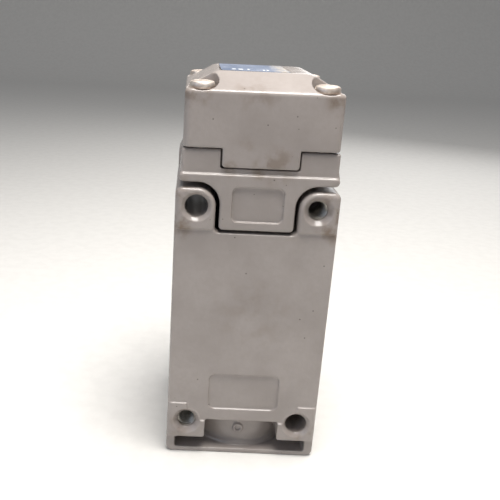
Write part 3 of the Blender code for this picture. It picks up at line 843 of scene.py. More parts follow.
@dataclass(frozen=True)
class Metal(Finish):
    """Bare or plated metal: a cut or drawn surface with fine lines and a film of tarnish.

    The eye gets a broken highlight from the lines, and duller, warmer patches from the tarnish.
    """

    colour: str = "#B9B5AC"
    tarnish: str = "#8A8074"
    tarnish_share: float = 0.5
    roughness: Span = (0.24, 0.42)
    line_size: float = 0.25
    line_stretch: tuple[float, float, float] = (1.0, 1.0, 1.0)
    line_depth: float = 0.003

    def dress(self, pattern: Pattern, shader: bpy.types.Node) -> None:
        """Lays down the metal, its film of tarnish and its fine lines.

        Args:
            pattern: Helper for this material's tree.
            shader: Its surface shader.
        """
        tree = pattern.tree
        film = pattern.ramp(pattern.noise(1.8, 5.0), (0.36, 0.66), (0.0, self.tarnish_share))
        tree.links.new(
            pattern.mix(film, linear(self.colour), linear(self.tarnish)), shader.inputs["Base Color"]
        )
        lines = pattern.noise(self.line_size, 3.0, self.line_stretch)
        tree.links.new(pattern.ramp(lines, (0.3, 0.7), self.roughness), shader.inputs["Roughness"])
        tree.links.new(pattern.bump(lines, self.line_depth), shader.inputs["Normal"])
        shader.inputs["Metallic"].default_value = 1.0


@dataclass(frozen=True)
class SinteredMetal(Finish):
    """Pressed and sintered bronze: an open-pored, oil-filled metal.

    The eye gets a dull brown metal peppered with dark pores a few hundredths of a millimetre deep.
    """

    colour: str = "#A98455"
    pore: str = "#3E2C1C"
    oil: str = "#6E5233"

    def dress(self, pattern: Pattern, shader: bpy.types.Node) -> None:
        """Lays down the bronze, its oil film and its open pores.

        Args:
            pattern: Helper for this material's tree.
            shader: Its surface shader.
        """
        tree = pattern.tree
        pores = pattern.ramp(pattern.cells(0.3), (0.12, 0.3), (1.0, 0.0))
        film = pattern.ramp(pattern.noise(2.5, 4.0), (0.35, 0.7), (0.0, 0.45))
        colour = pattern.mix(film, linear(self.colour), linear(self.oil))
        colour = pattern.mix(pattern.both(pores, 0.7), colour, linear(self.pore))
        tree.links.new(colour, shader.inputs["Base Color"])
        tree.links.new(pattern.ramp(film, (0.0, 0.45), (0.52, 0.36)), shader.inputs["Roughness"])
        tree.links.new(pattern.bump(pattern.cells(0.3), 0.02), shader.inputs["Normal"])
        shader.inputs["Metallic"].default_value = 1.0


@dataclass(frozen=True)
class Moulded(Finish):
    """Moulded plastic or rubber: a dyed mass with a fine surface from the tool.

    The eye gets slight clouding from the moulding flow and an even, broken sheen.
    """

    colour: str = "#1A1917"
    cloud: str = "#25221E"
    roughness: Span = (0.42, 0.58)
    texture_size: float = 0.3
    texture_depth: float = 0.008
    see_through: float = 0.0

    def dress(self, pattern: Pattern, shader: bpy.types.Node) -> None:
        """Lays down the dyed mass, its flow clouds and the tool's texture.

        Args:
            pattern: Helper for this material's tree.
            shader: Its surface shader.
        """
        tree = pattern.tree
        flow = pattern.ramp(pattern.noise(5.0, 4.0, (1.0, 1.0, 0.5)), (0.35, 0.68))
        tree.links.new(
            pattern.mix(flow, linear(self.colour), linear(self.cloud)), shader.inputs["Base Color"]
        )
        skin = pattern.noise(self.texture_size, 3.0)
        tree.links.new(pattern.ramp(skin, (0.3, 0.7), self.roughness), shader.inputs["Roughness"])
        tree.links.new(pattern.bump(skin, self.texture_depth), shader.inputs["Normal"])
        shader.inputs["Subsurface Weight"].default_value = self.see_through
        shader.inputs["Subsurface Scale"].default_value = 1.0 * MM


@dataclass(frozen=True)
class PrintedFoil(Finish):
    """Printed foil stuck to paint: ink under a clear film, rubbed through at one end.

    The eye gets a glossy colour that breaks up into bare paint and dirt towards the rubbed end.
    """

    ink: str = "#6F7A90"
    deep: str = "#5A6880"
    bare: str = "#A39B90"
    rubbed_from: float = -1.5
    rubbed_to: float = -5.0

    def dress(self, pattern: Pattern, shader: bpy.types.Node) -> None:
        """Lays down the ink and the flakes rubbed out of it towards one end.

        Args:
            pattern: Helper for this material's tree.
            shader: Its surface shader.
        """
        tree = pattern.tree
        cloud = pattern.ramp(pattern.noise(4.0, 3.0), (0.35, 0.68))
        colour = pattern.mix(cloud, linear(self.ink), linear(self.deep))
        along = add(tree, "ShaderNodeSeparateXYZ", {0: pattern.place}).outputs["X"]
        end = pattern.ramp(along, (self.rubbed_to * MM, self.rubbed_from * MM), (1.0, 0.12))
        flakes = pattern.ramp(pattern.noise(1.4, 6.0), (0.4, 0.56))
        colour = pattern.mix(pattern.both(end, flakes), colour, linear(self.bare))
        tree.links.new(colour, shader.inputs["Base Color"])
        rough = pattern.ramp(flakes, (0.0, 1.0), (0.28, 0.5))
        tree.links.new(rough, shader.inputs["Roughness"])
        tree.links.new(pattern.bump(flakes, 0.01), shader.inputs["Normal"])


class Finishes:
    """All the finishes of the part, each material made once and found by its record slot."""

    def __init__(self) -> None:
        """Makes every material once."""
        steel_lines = (1.0, 0.12, 1.0)
        self.enamel = CastEnamel("stoved_enamel_on_zinc", "grey_paint", stains=HANDLING_STAINS)
        self.screw = Metal(
            "tarnished_plated_steel", "plated_steel", colour="#E6DDD4", tarnish="#B7A597",
            tarnish_share=0.7, roughness=(0.45, 0.68), line_size=0.5, line_depth=0.012,
        )
        self.zinc = Metal(
            "tapped_bare_zinc", "grey_paint", colour="#B4B0A8", tarnish="#8C867C",
            tarnish_share=0.7, roughness=(0.4, 0.6),
        )
        others: tuple[Finish, ...] = (
            Moulded("black_phenolic", "black_phenolic", roughness=(0.36, 0.52)),
            Moulded("natural_nylon", "natural_nylon", "#D9D2BC", "#CEC5A9", see_through=0.25),
            Moulded("black_rubber", "black_rubber", "#161615", "#1F1F1E", (0.68, 0.85), 0.2, 0.012),
            Metal("zinc_plated_steel", "plated_steel", "#BDBAB4", "#9A948B", 0.35, line_stretch=steel_lines),
            Metal("drawn_spring_steel", "spring_steel", "#8F9092", "#5E5E60", 0.35),
            Metal("rolled_brass", "brass", "#C9A45A", "#8A6A36", 0.5),
            SinteredMetal("sintered_bronze", "sintered_bronze"),
            Metal("silver_alloy", "silver_alloy", "#D8D5CC", "#948E80", 0.4),
            Metal("green_dyed_steel", "green_steel", "#2F7A45", "#1F5230", 0.5),
            PrintedFoil("blue_printed_foil", "blue_label"),
            Metal("brushed_aluminium", "satin_aluminium", "#BFC0C1", "#A2A3A5", 0.3,
                  (0.3, 0.48), 0.22, (0.06, 1.0, 1.0)),
        )
        self.print_white = Moulded("white_print", "blue_label", "#E4E6E8", "#C9CDD2", (0.3, 0.42))
        self.materials = {finish.slot: finish.build() for finish in others}
        self.materials["grey_paint"] = self.enamel.build()
        self.screw_material = self.screw.build()
        self.zinc_material = self.zinc.build()
        self.print_material = self.print_white.build()

    def of(self, slot: str) -> bpy.types.Material:
        """Finds a material.

        Args:
            slot: The record's material slot.

        Returns:
            The material for that slot.
        """
        return self.materials[slot]


def dressed(
    piece: bpy.types.Object, material: bpy.types.Material, body: str, nodes: Sequence[str] = ()
) -> bpy.types.Object:
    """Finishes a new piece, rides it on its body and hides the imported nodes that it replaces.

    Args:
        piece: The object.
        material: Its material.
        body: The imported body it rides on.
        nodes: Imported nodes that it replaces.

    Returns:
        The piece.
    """
    piece.data.materials.clear()
    piece.data.materials.append(material)
    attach(piece, body)
    if nodes:
        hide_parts(*nodes)
    LOG.info("%s: %d faces", piece.name, len(piece.data.polygons))
    return piece


# Sub-assemblies -----------------------------------------------------------------------------


@dataclass
class MountingPattern:
    """The four holes through which the receptacle is bolted down, and from behind screwed to."""

    x: float = 14.73
    low: float = 10.18
    high: float = 69.62
    clearance: float = 2.8
    crest: float = 2.05
    root: float = 2.41
    pitch: float = 0.794
    tapped_depth: float = 12.0
    clear_chamfer: float = 3.75
    tapped_chamfer: float = 3.7

    def clear(self) -> tuple[Point, Point]:
        """Centres of the clearance holes.

        Returns:
            The two centres.
        """
        return (self.x, self.high), (-self.x, self.low)

    def tapped(self) -> tuple[Point, Point]:
        """Centres of the tapped holes.

        Returns:
            The two centres.
        """
        return (-self.x, self.high), (self.x, self.low)


@dataclass
class Receptacle:
    """The casting that bolts to the machine and takes the conduit."""

    half: float = 19.95
    ear_top: float = 74.3
    ear_inside: float = 10.03
    ear_arc: float = 4.7
    slot_floor: float = 63.2
    depth: float = 31.0
    hub_depth: float = 17.0
    hub_radius: float = 13.2
    conduit_crest: float = 9.5
    conduit_root: float = 10.35
    conduit_pitch: float = 1.814
    plate_depth: float = 0.5
    back_edge: float = 1.3
    panel_half: float = 9.2
    panel_span: Span = (13.95, 24.3)
    panel_depth: float = 1.05
    rim_top: float = 5.1
    rim_depth: float = 1.1
    hub_foot: float = 0.7
    holes: MountingPattern = field(default_factory=MountingPattern)

    def outline(self) -> list[Corner]:
        """The casting seen from behind.

        Returns:
            Its corners.
        """
        return both_sides(
            [
                (self.half, 0.0, 1.8),
                (self.half, self.ear_top, 1.8),
                (self.ear_inside, self.ear_top, self.ear_arc),
                (self.ear_inside, self.slot_floor, 1.0),
            ]
        )

    def casting(self, finishes: Finishes) -> bpy.types.Object:
        """Builds the casting.

        Args:
            finishes: The part's finishes.

        Returns:
            The finished piece.
        """
        shell = Solid().soft_prism(self.outline(), depths(0.0, self.depth), (0.4, self.back_edge))
        made = shell.publish("receptacle_shell")
        around = arc((self.holes.x, self.holes.low), 3.5, 94.0, 178.0, 12)
        right = [(25.0, 64.1), (25.0, 15.4), (14.8, 15.4), *around]
        field_outline = right + [(-x, z) for x, z in reversed(right)]
        work(made, Operation.CUT, Solid().prism(field_outline, depths(-1.0, self.plate_depth)))
        chamber = both_sides(
            [(9.2, 12.6, 1.0), (9.2, 16.0, 1.0), (16.9, 16.0, 1.0), (16.9, 60.4, 1.0),
             (self.ear_inside, 60.4, 0.3), (self.ear_inside, 76.0, 0.3)]
        )
        work(made, Operation.CUT, Solid().prism(rounded(chamber), depths(3.5, 33.0)))
        pocket = both_sides([(17.7, 1.3, 0.8), (17.7, 5.3, 0.8), (9.8, 5.3, 0.5), (9.8, 10.55, 0.6)])
        work(made, Operation.CUT, Solid().prism(rounded(pocket), depths(-1.0, 16.0)))
        rim = rounded(box_corners((-25.0, 25.0), (-1.0, self.rim_top), 0.1))
        work(made, Operation.CUT, Solid().prism(rim, depths(-1.0, self.rim_depth)))
        hub, radius = (0.0, at_depth(self.hub_depth)), self.hub_radius
        wide = radius + self.hub_foot
        foot = [(wide, 0.6), (wide, 1.9), (radius, 2.5), (radius, 11.6)]
        work(made, Operation.JOIN, Solid().stepped(hub, foot, Axis.Z, 96))
        work(made, Operation.JOIN, self.cast_mark())
        mouth = [(self.conduit_root + 0.9, -1.0), (self.conduit_root + 0.9, 0.6),
                 (self.conduit_root, 1.5), (self.conduit_root, 14.0)]
        work(made, Operation.CUT, Solid().stepped(hub, mouth, Axis.Z, 96))
        panel = rounded(box_corners((-self.panel_half, self.panel_half), self.panel_span, 1.8))
        work(made, Operation.CUT, Solid().prism(panel, depths(-1.0, self.panel_depth)))
        work(made, Operation.CUT, self.bores())
        cast_skin(made, grain=0.2, rounds=2, keep=0.18)
        return dressed(made, finishes.of("grey_paint"), HOUSING, ["receptacle_casting"])

    def cast_mark(self) -> Solid:
        """A plain foundry ring on the back of the hub.

        Returns:
            The ring as a tool.
        """
        back = at_depth(self.hub_depth) + self.hub_radius
        inner, outer, proud, sunk = 0.75, 1.4, 0.45, 0.8
        profile = [(inner, back - sunk), (inner, back + proud), (outer, back + proud), (outer, back - sunk)]
        mark = Solid().turned((0.5, 6.4), profile, Axis.Y, 32)
        return mark.rod((0.5, 8.9), 0.55, (back - sunk, back + proud), sides=24)

    def bores(self) -> Solid:
        """All screw holes with their countersinks.

        Returns:
            The holes as one tool.
        """
        holes, tool, over = self.holes, Solid(), 1.0
        for centre in holes.clear():
            lead = holes.clear_chamfer - holes.clearance
            profile = [(holes.clearance, at_depth(33.0)), (holes.clearance, at_depth(lead)),
                       (holes.clear_chamfer, at_depth(0.0)), (holes.clear_chamfer, at_depth(-over))]
            tool.stepped(centre, profile)
        for centre in holes.tapped():
            lead = holes.tapped_chamfer - holes.root
            profile = [(holes.root, at_depth(holes.tapped_depth)), (holes.root, at_depth(lead)),
                       (holes.tapped_chamfer, at_depth(0.0)), (holes.tapped_chamfer, at_depth(-over))]
            tool.stepped(centre, profile)
            tool.rod(centre, 2.2, depths(18.0, 33.0))
        tool.rod((0.0, 16.8), 1.9, depths(1.6, 4.5))
        for x in (-8.0, 8.0):
            tool.rod((x, 57.4), 1.6, depths(1.3, 4.5))
        return tool

    def threads(self, finishes: Finishes) -> None:
        """Builds the threads of the tapped holes and of the conduit entry.

        Args:
            finishes: The part's finishes.
        """
        holes = self.holes
        for number, centre in enumerate(holes.tapped(), 1):
            span = depths(1.5, holes.tapped_depth - 0.3)
            ridge = Solid().thread(centre, holes.crest, holes.root + 0.05, holes.pitch, span)
            made = ridge.publish(f"tapped_thread_{number}")
            dressed(made, finishes.zinc_material, HOUSING)
        hub = (0.0, at_depth(self.hub_depth))
        ridge = Solid().thread(
            hub, self.conduit_crest, self.conduit_root + 0.1, self.conduit_pitch, (1.4, 11.4), Axis.Z
        )
        dressed(ridge.publish("conduit_thread"), finishes.zinc_material, HOUSING)

    def build(self, finishes: Finishes) -> None:
        """Builds every piece of the receptacle.

        Args:
            finishes: The part's finishes.
        """
        self.casting(finishes)
        self.threads(finishes)


@dataclass
class SwitchBody:
    """The plug-in casting with its cover, tongue, shoulders, screws and nameplate."""

    cover: Span = (32.4, 43.2)
    half: float = 19.9
    shoulder: float = 18.8
    top: float = 83.6
    tongue_half: float = 9.15
    tongue_bottom: float = 63.9
    head_depth: float = 18.95
    head_screw_reach: float = 14.6
    block_screws: tuple[Point, Point] = ((-12.2, 57.2), (12.2, 34.0))
    rivet_heights: Span = (26.6, 57.4)
    band_bottom: float = 75.6
    band_top: float = 77.8
    band_fillet: float = 5.5
    band_edge: float = 0.6
    panel_depth: float = 1.05
    holes: MountingPattern = field(default_factory=MountingPattern)

    def casting(self, finishes: Finishes) -> bpy.types.Object:
        """Builds the casting.

        Args:
            finishes: The part's finishes.

        Returns:
            The finished piece.
        """
        cover = both_sides(
            [(self.half, 0.4, 2.4), (self.half, 76.8, 1.5), (self.shoulder, 79.2, 1.0),
             (self.shoulder, self.top, 0.5)]
        )
        made = Solid().soft_prism(cover, depths(*self.cover), (1.0, 0.4)).publish("switch_body_shell")
        platform = both_sides(
            [(19.2, 75.6, 1.2), (19.2, 77.6, 0.8), (self.shoulder, 79.2, 1.0), (self.shoulder, self.top, 0.4)]
        )
        work(made, Operation.JOIN, Solid().soft_prism(platform, depths(1.0, 33.5), (0.4, 0.6)))
        tongue = both_sides(
            [(self.tongue_half, self.tongue_bottom, 1.0),
             (self.tongue_half, self.band_bottom, self.band_fillet),
             (19.2, self.band_bottom, 1.2), (19.2, self.band_top, 0.9)]
        )
        band = Solid().soft_prism(tongue, depths(0.35, 33.0), (0.2, self.band_edge))
        work(made, Operation.JOIN, band)
        brow = [(at_depth(37.8), 84.0), (at_depth(43.4), 78.0), (at_depth(45.0), 78.0),
                (at_depth(45.0), 84.0)]
        work(made, Operation.CUT, Solid().prism(brow, (-25.0, 25.0), Axis.X))
        notch = rounded(box_corners((-9.5, 9.5), (79.05, 85.0), 0.3))
        work(made, Operation.CUT, Solid().prism(notch, depths(-1.0, 3.6)))
        panel = rounded(box_corners((-6.25, 6.25), (66.0, 74.8), 1.5))
        work(made, Operation.CUT, Solid().prism(panel, depths(-1.0, self.panel_depth)))
        hollow = rounded(box_corners((-15.6, 15.6), (17.0, 63.0), 1.5))
        work(made, Operation.CUT, Solid().prism(hollow, depths(31.5, 40.2)))
        standoffs = Solid()
        for x, z in self.block_screws:
            standoffs.rod((x, z), 2.8, depths(31.6, 41.0))
        work(made, Operation.JOIN, standoffs)
        for tool in self.bores():
            work(made, Operation.CUT, tool)
        cast_skin(made, grain=0.2, rounds=2, keep=0.16)
        return dressed(made, finishes.of("grey_paint"), HOUSING, ["switch_body_casting"])

    def bores(self) -> list[Solid]:
        """The plunger well, screw holes, counterbores and nameplate recess.

        Returns:
            Tools that are cut one after another.
        """
        centre = (0.0, at_depth(self.head_depth))
        reach = self.head_screw_reach
        wells = [(2.6, 62.0), (2.6, 66.0), (4.0, 66.0), (4.0, 78.5), (8.5, 78.5), (8.5, 85.0)]
        small = Solid()
        for x in (-reach, reach):
            for y in (-reach, reach):
                small.rod((x, centre[1] + y), 2.4, (77.3, 85.0), Axis.Z, 32)
        for x, z in self.block_screws:
            small.rod((x, z), 1.4, depths(31.0, 37.0), sides=24)
        for z in self.rivet_heights:
            small.rod((0.0, z), 1.3, depths(41.0, 44.0), sides=24)
        screws, counterbores = Solid(), Solid()
        for x, z in self.holes.clear():
            screws.rod((x, z), 3.0, depths(31.0, 45.0))
        for x, z in self.holes.tapped():
            screws.rod((x, z), 2.3, depths(31.0, 45.0))
        for x, z in (*self.holes.clear(), *self.holes.tapped()):
            counterbores.rod((x, z), 4.3, depths(39.2, 45.0))
        plate = Solid().prism(rounded(box_corners((-13.3, 13.3), (23.7, 60.3), 1.3)), depths(42.5, 45.0))
        return [Solid().stepped(centre, wells, Axis.Z), small, screws, counterbores, plate]

    def screws(self, finishes: Finishes) -> None:
        """Builds the two captive screws with crowned, slotted heads.

        Args:
            finishes: The part's finishes.
        """
        for number, centre in enumerate(self.holes.tapped(), 1):
            profile = [(1.8, at_depth(19.0)), (1.8, at_depth(39.5)), (3.75, at_depth(39.5)),
                       (3.9, at_depth(39.7)), (3.9, at_depth(41.7)), (3.6, at_depth(42.2)),
                       (2.6, at_depth(42.5)), (1.2, at_depth(42.6))]
            made = Solid().stepped(centre, profile).publish(f"captive_screw_{number}")
            x, z = centre
            slot = box_corners((x - 5.0, x + 5.0), (z - 0.5, z + 0.5), 0.05)
            work(made, Operation.CUT, Solid().prism(rounded(slot), depths(41.6, 44.0)))
            soften(made, 0.08)
            name = f"body_screw_{number}"
            dressed(made, finishes.screw_material, HOUSING, [name])

    def nameplate(self, finishes: Finishes) -> None:
        """Builds a blank plate with an embossed border, and its two drive pins.

        Args:
            finishes: The part's finishes.
        """
        plate = Solid().soft_prism(
            box_corners((-13.0, 13.0), (24.0, 60.0), 1.0), depths(42.8, 43.15), (0.1, 0.05)
        )
        made = plate.publish("blank_nameplate")
        border = Solid().prism(rounded(box_corners((-12.3, 12.3), (24.7, 59.3), 0.8)), depths(43.0, 43.3))
        work(made, Operation.JOIN, border)
        inner = Solid().prism(rounded(box_corners((-11.7, 11.7), (29.6, 54.4), 0.5)), depths(43.12, 44.0))
        work(made, Operation.CUT, inner)
        holes = Solid()
        for z in self.rivet_heights:
            holes.rod((0.0, z), 1.3, depths(42.0, 44.0))
        work(made, Operation.CUT, holes)
        soften(made, 0.05)
        dressed(made, finishes.of("satin_aluminium"), HOUSING, ["nameplate"])
        for number, z in enumerate(self.rivet_heights, 1):
            profile = [(1.0, at_depth(41.3)), (1.0, at_depth(43.6)), (1.9, at_depth(43.6)),
                       (1.85, at_depth(43.85)), (1.5, at_depth(44.12)), (0.8, at_depth(44.3))]
            pin = Solid().stepped((0.0, z), profile, sides=32).publish(f"drive_rivet_{number}")
            dressed(pin, finishes.of("plated_steel"), HOUSING, [f"nameplate_pin_{number}"])

    def build(self, finishes: Finishes) -> None:
        """Builds every piece of the switch body.

        Args:
            finishes: The part's finishes.
        """
        self.casting(finishes)
        self.screws(finishes)
        self.nameplate(finishes)


@dataclass
class Head:
    """The square operating head with its screws and label."""

    half: float = 18.6
    depth: float = 18.95
    bottom: float = 83.9
    edge: float = 97.3
    top: float = 101.1
    plateau: float = 11.1
    screw_reach: float = 14.6
    shaft_z: float = 91.2
    tab_half: float = 9.2
    tab_bottom: float = 79.35

    def square(self, half: float, radius: float) -> list[Point]:
        """A rounded square about the head's axis.

        Args:
            half: Half its side.
            radius: Its corner radius.

        Returns:
            The outline.
        """
        y = at_depth(self.depth)
        return rounded(box_corners((-half, half), (y - half, y + half), radius))

    def places(self) -> list[Point]:
        """Centres of the four screws.

        Returns:
            (x, y) pairs.
        """
        y, reach = at_depth(self.depth), self.screw_reach
        return [(x, y + step) for x in (-reach, reach) for step in (-reach, reach)]

    def casting(self, finishes: Finishes) -> bpy.types.Object:
        """Builds the casting.

        Args:
            finishes: The part's finishes.

        Returns:
            The finished piece.
        """
        sections = [
            (self.square(self.half - 0.25, 1.4), self.bottom),
            (self.square(self.half, 1.6), self.bottom + 0.25),
            (self.square(self.half, 1.6), self.edge - 0.7),
            (self.square(self.half - 0.2, 1.6), self.edge - 0.2),
            (self.square(self.half - 0.8, 1.5), self.edge + 0.2),
            (self.square(self.plateau + 0.7, 1.2), self.top - 0.3),
            (self.square(self.plateau, 1.0), self.top - 0.06),
            (self.square(self.plateau - 0.5, 0.9), self.top),
        ]
        made = Solid().loft(sections, Axis.Z).publish("head_shell")
        shaft, centre = (0.0, self.shaft_z), (0.0, at_depth(self.depth))
        work(made, Operation.JOIN, Solid().rod(shaft, 6.0, depths(36.5, 41.5), sides=64))
        tab = box_corners((-self.tab_half, self.tab_half), (self.tab_bottom, 86.0), 0.8)
        work(made, Operation.JOIN, Solid().soft_prism(tab, depths(0.35, 3.3), (0.2, 0.3)))
        cavity = [(16.6, 82.0), (16.6, 84.9), (15.0, 84.9), (15.0, 96.8)]
        work(made, Operation.CUT, Solid().stepped(centre, cavity, Axis.Z, 96))
        work(made, Operation.JOIN, Solid().rod(shaft, 5.6, depths(3.0, 8.2)))
        bores = Solid().rod(shaft, 4.7, depths(30.0, 43.0)).rod(shaft, 4.5, depths(4.1, 9.0))
        work(made, Operation.CUT, bores)
        work(made, Operation.CUT, Solid().rod(shaft, 6.2, depths(30.0, 34.4)))
        pockets, holes = Solid(), Solid()
        for place in self.places():
            pockets.rod(place, 3.8, (96.9, 103.0), Axis.Z)
            holes.rod(place, 2.4, (82.0, 98.0), Axis.Z, 32)
        work(made, Operation.CUT, pockets)
        work(made, Operation.CUT, holes)
        y = at_depth(self.depth)
        seat = rounded(box_corners((-6.5, 10.5), (y - 10.4, y + 10.4), 0.6))
        work(made, Operation.CUT, Solid().prism(seat, (100.6, 103.0), Axis.Z))
        cast_skin(made, grain=0.18, rounds=6, keep=0.24)
        return dressed(made, finishes.of("grey_paint"), HOUSING, ["head_casting"])

    def screws(self, finishes: Finishes) -> None:
        """Builds four pan-head screws, each with one straight slot.

        Args:
            finishes: The part's finishes.
        """
        for number, (x, y) in enumerate(self.places(), 1):
            profile = [(2.0, 78.0), (2.0, 97.2), (2.95, 97.2), (3.05, 97.35), (3.05, 98.3),
                       (2.8, 98.7), (2.2, 98.92), (1.1, 99.0)]
            made = Solid().stepped((x, y), profile, Axis.Z).publish(f"head_pan_screw_{number}")
            slot = rounded(box_corners((x - 4.0, x + 4.0), (y - 0.5, y + 0.5), 0.05))
            work(made, Operation.CUT, Solid().prism(slot, (98.1, 100.0), Axis.Z))
            soften(made, 0.07)
            dressed(made, finishes.screw_material, HOUSING, [f"head_screw_{number}"])

    def label(self, finishes: Finishes) -> None:
        """Builds the foil label with plain printed bars.

        Args:
            finishes: The part's finishes.
        """
        y = at_depth(self.depth)
        corners = box_corners((-6.2, 10.2), (y - 10.1, y + 10.1), 0.5)
        foil = Solid().soft_prism(corners, (100.9, 101.16), (0.05, 0.06), Axis.Z)
        made = foil.publish("foil_label")
        dressed(made, finishes.of("blue_label"), HOUSING, ["head_label"])
        bars = Solid()
        for start, width, low, high in ((6.6, 0.9, 5.4, 8.0), (4.9, 1.1, 5.4, 8.2), (3.3, 0.5, 5.2, 8.0),
                                        (-0.4, 0.5, 5.8, 8.4), (-1.3, 0.5, 5.8, 8.4)):
            mark = box_corners((start, start + width), (y + low, y + high), 0.12)
            bars.prism(rounded(mark), (101.1, 101.19), Axis.Z)
        dressed(bars.publish("printed_bars"), finishes.print_material, HOUSING)

    def build(self, finishes: Finishes) -> None:
        """Builds every piece of the head.

        Args:
            finishes: The part's finishes.
        """
        self.casting(finishes)
        self.screws(finishes)
        self.label(finishes)


@dataclass
class ShaftGroup:
    """The operating shaft and the bronze bushing it turns in."""

    z: float = 91.2
    radius: float = 3.175
    tip: float = 60.0
    flat_height: float = 2.6
    flat_from: float = 46.0

    def build(self, finishes: Finishes) -> None:
        """Builds the shaft and the front bushing.

        Args:
            finishes: The part's finishes.
        """
        centre, r = (0.0, self.z), self.radius
        steps = [(2.4, 4.6), (2.55, 4.8), (2.55, 11.0), (r, 11.0), (r, 32.3), (2.5, 32.3),
                 (2.5, 33.5), (r, 33.5), (r, 59.4), (2.6, self.tip)]
        profile = [(radius, at_depth(depth)) for radius, depth in steps]
        made = Solid().stepped(centre, profile, sides=96).publish("operating_shaft_turned")
        pin_y = at_depth(25.8)
        work(made, Operation.CUT, Solid().rod((0.0, pin_y), 1.1, (self.z - 2.5, self.z + 5.0), Axis.Z, 32))
        flat = rounded(box_corners((-5.0, 5.0), depths(self.flat_from, 61.0), 0.3))
        work(made, Operation.CUT, Solid().prism(flat, (self.z + self.flat_height, self.z + 5.0), Axis.Z))
        centre_mark = [(0.9, at_depth(self.tip + 0.5)), (0.9, at_depth(self.tip)), (0.1, at_depth(59.2))]
        work(made, Operation.CUT, Solid().stepped(centre, centre_mark, sides=32))
        soften(made, 0.08)
        dressed(made, finishes.of("plated_steel"), SHAFT_BODY, ["operating_shaft"])

        bush = [(3.5, 36.6), (3.5, 42.6), (3.7, 42.8), (5.5, 42.8), (5.7, 42.6), (5.7, 41.8),
                (4.4, 41.8), (4.4, 36.6)]
        ring = Solid().turned(centre, [(radius, at_depth(depth)) for radius, depth in bush])
        dressed(
            ring.publish("flanged_bushing"), finishes.of("sintered_bronze"),
            HOUSING, ["shaft_bushing"],
        )


@dataclass
class ReturnSpring:
    """An upright coil spring of one fixed shape."""

    node: str
    joint: str
    y: float
    radius: float
    wire: float
    span: Span
    turns: int
    stroke: float = 2.4

    def build(self, finishes: Finishes) -> None:
        """Builds the coil.

        Args:
            finishes: The part's finishes.
        """
        coil = Solid().coil((0.0, self.y), self.radius, self.wire, self.span, self.turns)
        made = coil.publish(f"{self.node}_wound")
        dressed(made, finishes.of("spring_steel"), HOUSING, [self.node])
        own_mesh(made)


def soften(target: bpy.types.Object, width: float) -> None:
    """Breaks an object's sharp edges.

    Args:
        target: The object.
        width: Width of the broken edge in millimetres.
    """
    bevel = target.modifiers.new("broken_edge", "BEVEL")
    bevel.width = width * MM
    bevel.segments = 2
    bevel.limit_method = "ANGLE"
    bevel.angle_limit = math.radians(35)
    bevel.harden_normals = True


def dress_frame(frame: dict, finishes: Finishes) -> None:
    """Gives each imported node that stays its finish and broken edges.

    Args:
        finishes: The part's finishes.
    """
    slots = {
        entry["node"]: entry["material_slot"]
        for entry in frame["record"]["subparts"]
        if "material_slot" in entry
    }
    edge = 0.1
    for name, node in frame["nodes"].items():
        if node.hide_render:
            continue
        material = finishes.of(slots[name])
        node.data.materials.clear()
        node.data.materials.append(material)
        if "spring" not in name:
            soften(node, edge)
        LOG.info("%s keeps its shape, finish %s", name, material.name)


# Studio -------------------------------------------------------------------------------------


@dataclass(frozen=True)
class Lamp:
    """A soft square light that faces a point."""

    name: str
    place: tuple[float, float, float]
    aim: tuple[float, float, float]
    size: float
    power: float
    colour: str

    def build(self) -> None:
        """Adds the light to the scene."""
        data = bpy.data.lights.new(self.name, "AREA")
        data.size, data.energy, data.color = self.size * MM, self.power, linear(self.colour)[:3]
        made = bpy.data.objects.new(self.name, data)
        made.location = [value * MM for value in self.place]
        direction = Vector(self.aim) - Vector(self.place)
        made.rotation_euler = direction.to_track_quat("-Z", "Y").to_euler()
        bpy.context.scene.collection.objects.link(made)


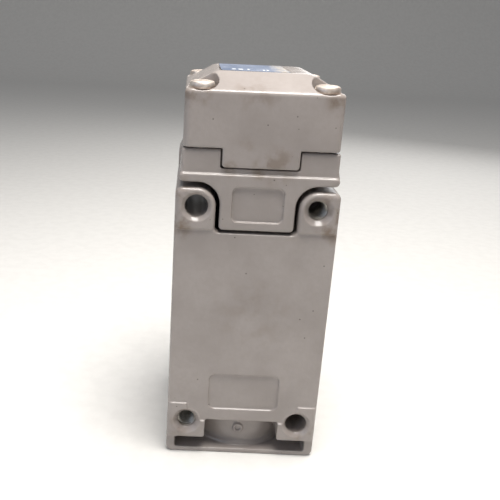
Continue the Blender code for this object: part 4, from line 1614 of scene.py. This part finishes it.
@dataclass
class Studio:
    """Camera, soft light and a pale floor."""

    camera_place: tuple[float, float, float] = (16.95, 191.67, 114.02)
    camera_turn: tuple[float, float, float] = (70.726, -2.322, -179.189)
    lens: float = 50.137
    shift: Span = (0.1297, 0.0079)
    world: str = "#D6D8DC"
    world_strength: float = 0.36
    floor_colour: str = "#DCDAD6"
    lamps: tuple[Lamp, ...] = (
        Lamp("overhead", (-30.0, 75.0, 430.0), (0.0, 5.0, 70.0), 220.0, 3.0, "#FFFCF8"),
        Lamp("fill", (330.0, 300.0, 190.0), (0.0, 10.0, 50.0), 260.0, 0.3, "#BFD4F5"),
        Lamp("front", (-200.0, -380.0, 260.0), (0.0, 0.0, 50.0), 300.0, 0.5, "#FFFFFF"),
    )

    def camera(self) -> None:
        """Makes the camera."""
        data = bpy.data.cameras.new("camera")
        data.lens, data.sensor_width = self.lens, 36.0
        data.shift_x, data.shift_y = self.shift
        data.clip_start, data.clip_end = 0.01, 10.0
        made = bpy.data.objects.new("camera", data)
        made.location = [value * MM for value in self.camera_place]
        made.rotation_euler = [math.radians(value) for value in self.camera_turn]
        bpy.context.scene.collection.objects.link(made)
        bpy.context.scene.camera = made

    def floor(self) -> None:
        """Makes the floor, whose far side curves up."""
        half, bend, steps = 900.0, 300.0, 16
        profile = [(half, 0.0), (-half, 0.0)]
        profile += [(-half - bend * math.sin(a), bend * (1 - math.cos(a)))
                    for a in (math.pi / 2 * i / steps for i in range(1, steps + 1))]
        mesh = bmesh.new()
        rows = [[mesh.verts.new((x * MM, y * MM, z * MM)) for y, z in profile] for x in (-3000.0, 3000.0)]
        for i in range(len(profile) - 1):
            mesh.faces.new((rows[0][i], rows[1][i], rows[1][i + 1], rows[0][i + 1]))
        data = bpy.data.meshes.new("floor")
        mesh.to_mesh(data)
        mesh.free()
        data.shade_smooth()
        made = bpy.data.objects.new("floor", data)
        bpy.context.scene.collection.objects.link(made)
        paper = Moulded("matt_paper", "floor", self.floor_colour, "#D8D6D2", (0.8, 0.9), 0.6, 0.01)
        data.materials.append(paper.build())

    def build(self) -> None:
        """Makes the whole studio."""
        self.camera()
        self.floor()
        for lamp in self.lamps:
            lamp.build()
        world = bpy.data.worlds.new("soft_room")
        world.use_nodes = True
        background = world.node_tree.nodes["Background"]
        background.inputs["Color"].default_value = linear(self.world)
        background.inputs["Strength"].default_value = self.world_strength
        bpy.context.scene.world = world
        bpy.context.scene.view_settings.view_transform = "Standard"


def main() -> None:
    """Builds the whole scene."""
    logging.basicConfig(level=logging.INFO, format="%(message)s")
    for leftover in list(bpy.data.objects):
        bpy.data.objects.remove(leftover)
    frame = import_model()
    finishes = Finishes()
    Studio().build()
    springs = (
        ReturnSpring("plunger_spring", "plunger_slide", 11.05, 3.3, 0.25, (79.9, 84.5), 3),
        ReturnSpring("carrier_spring", "carrier_slide", 8.6, 2.4, 0.3, (33.6, 39.3), 4),
    )
    for assembly in (Receptacle(), SwitchBody(), Head(), ShaftGroup(), *springs):
        assembly.build(finishes)
    dress_frame(frame, finishes)


if __name__ == "__main__":
    main()
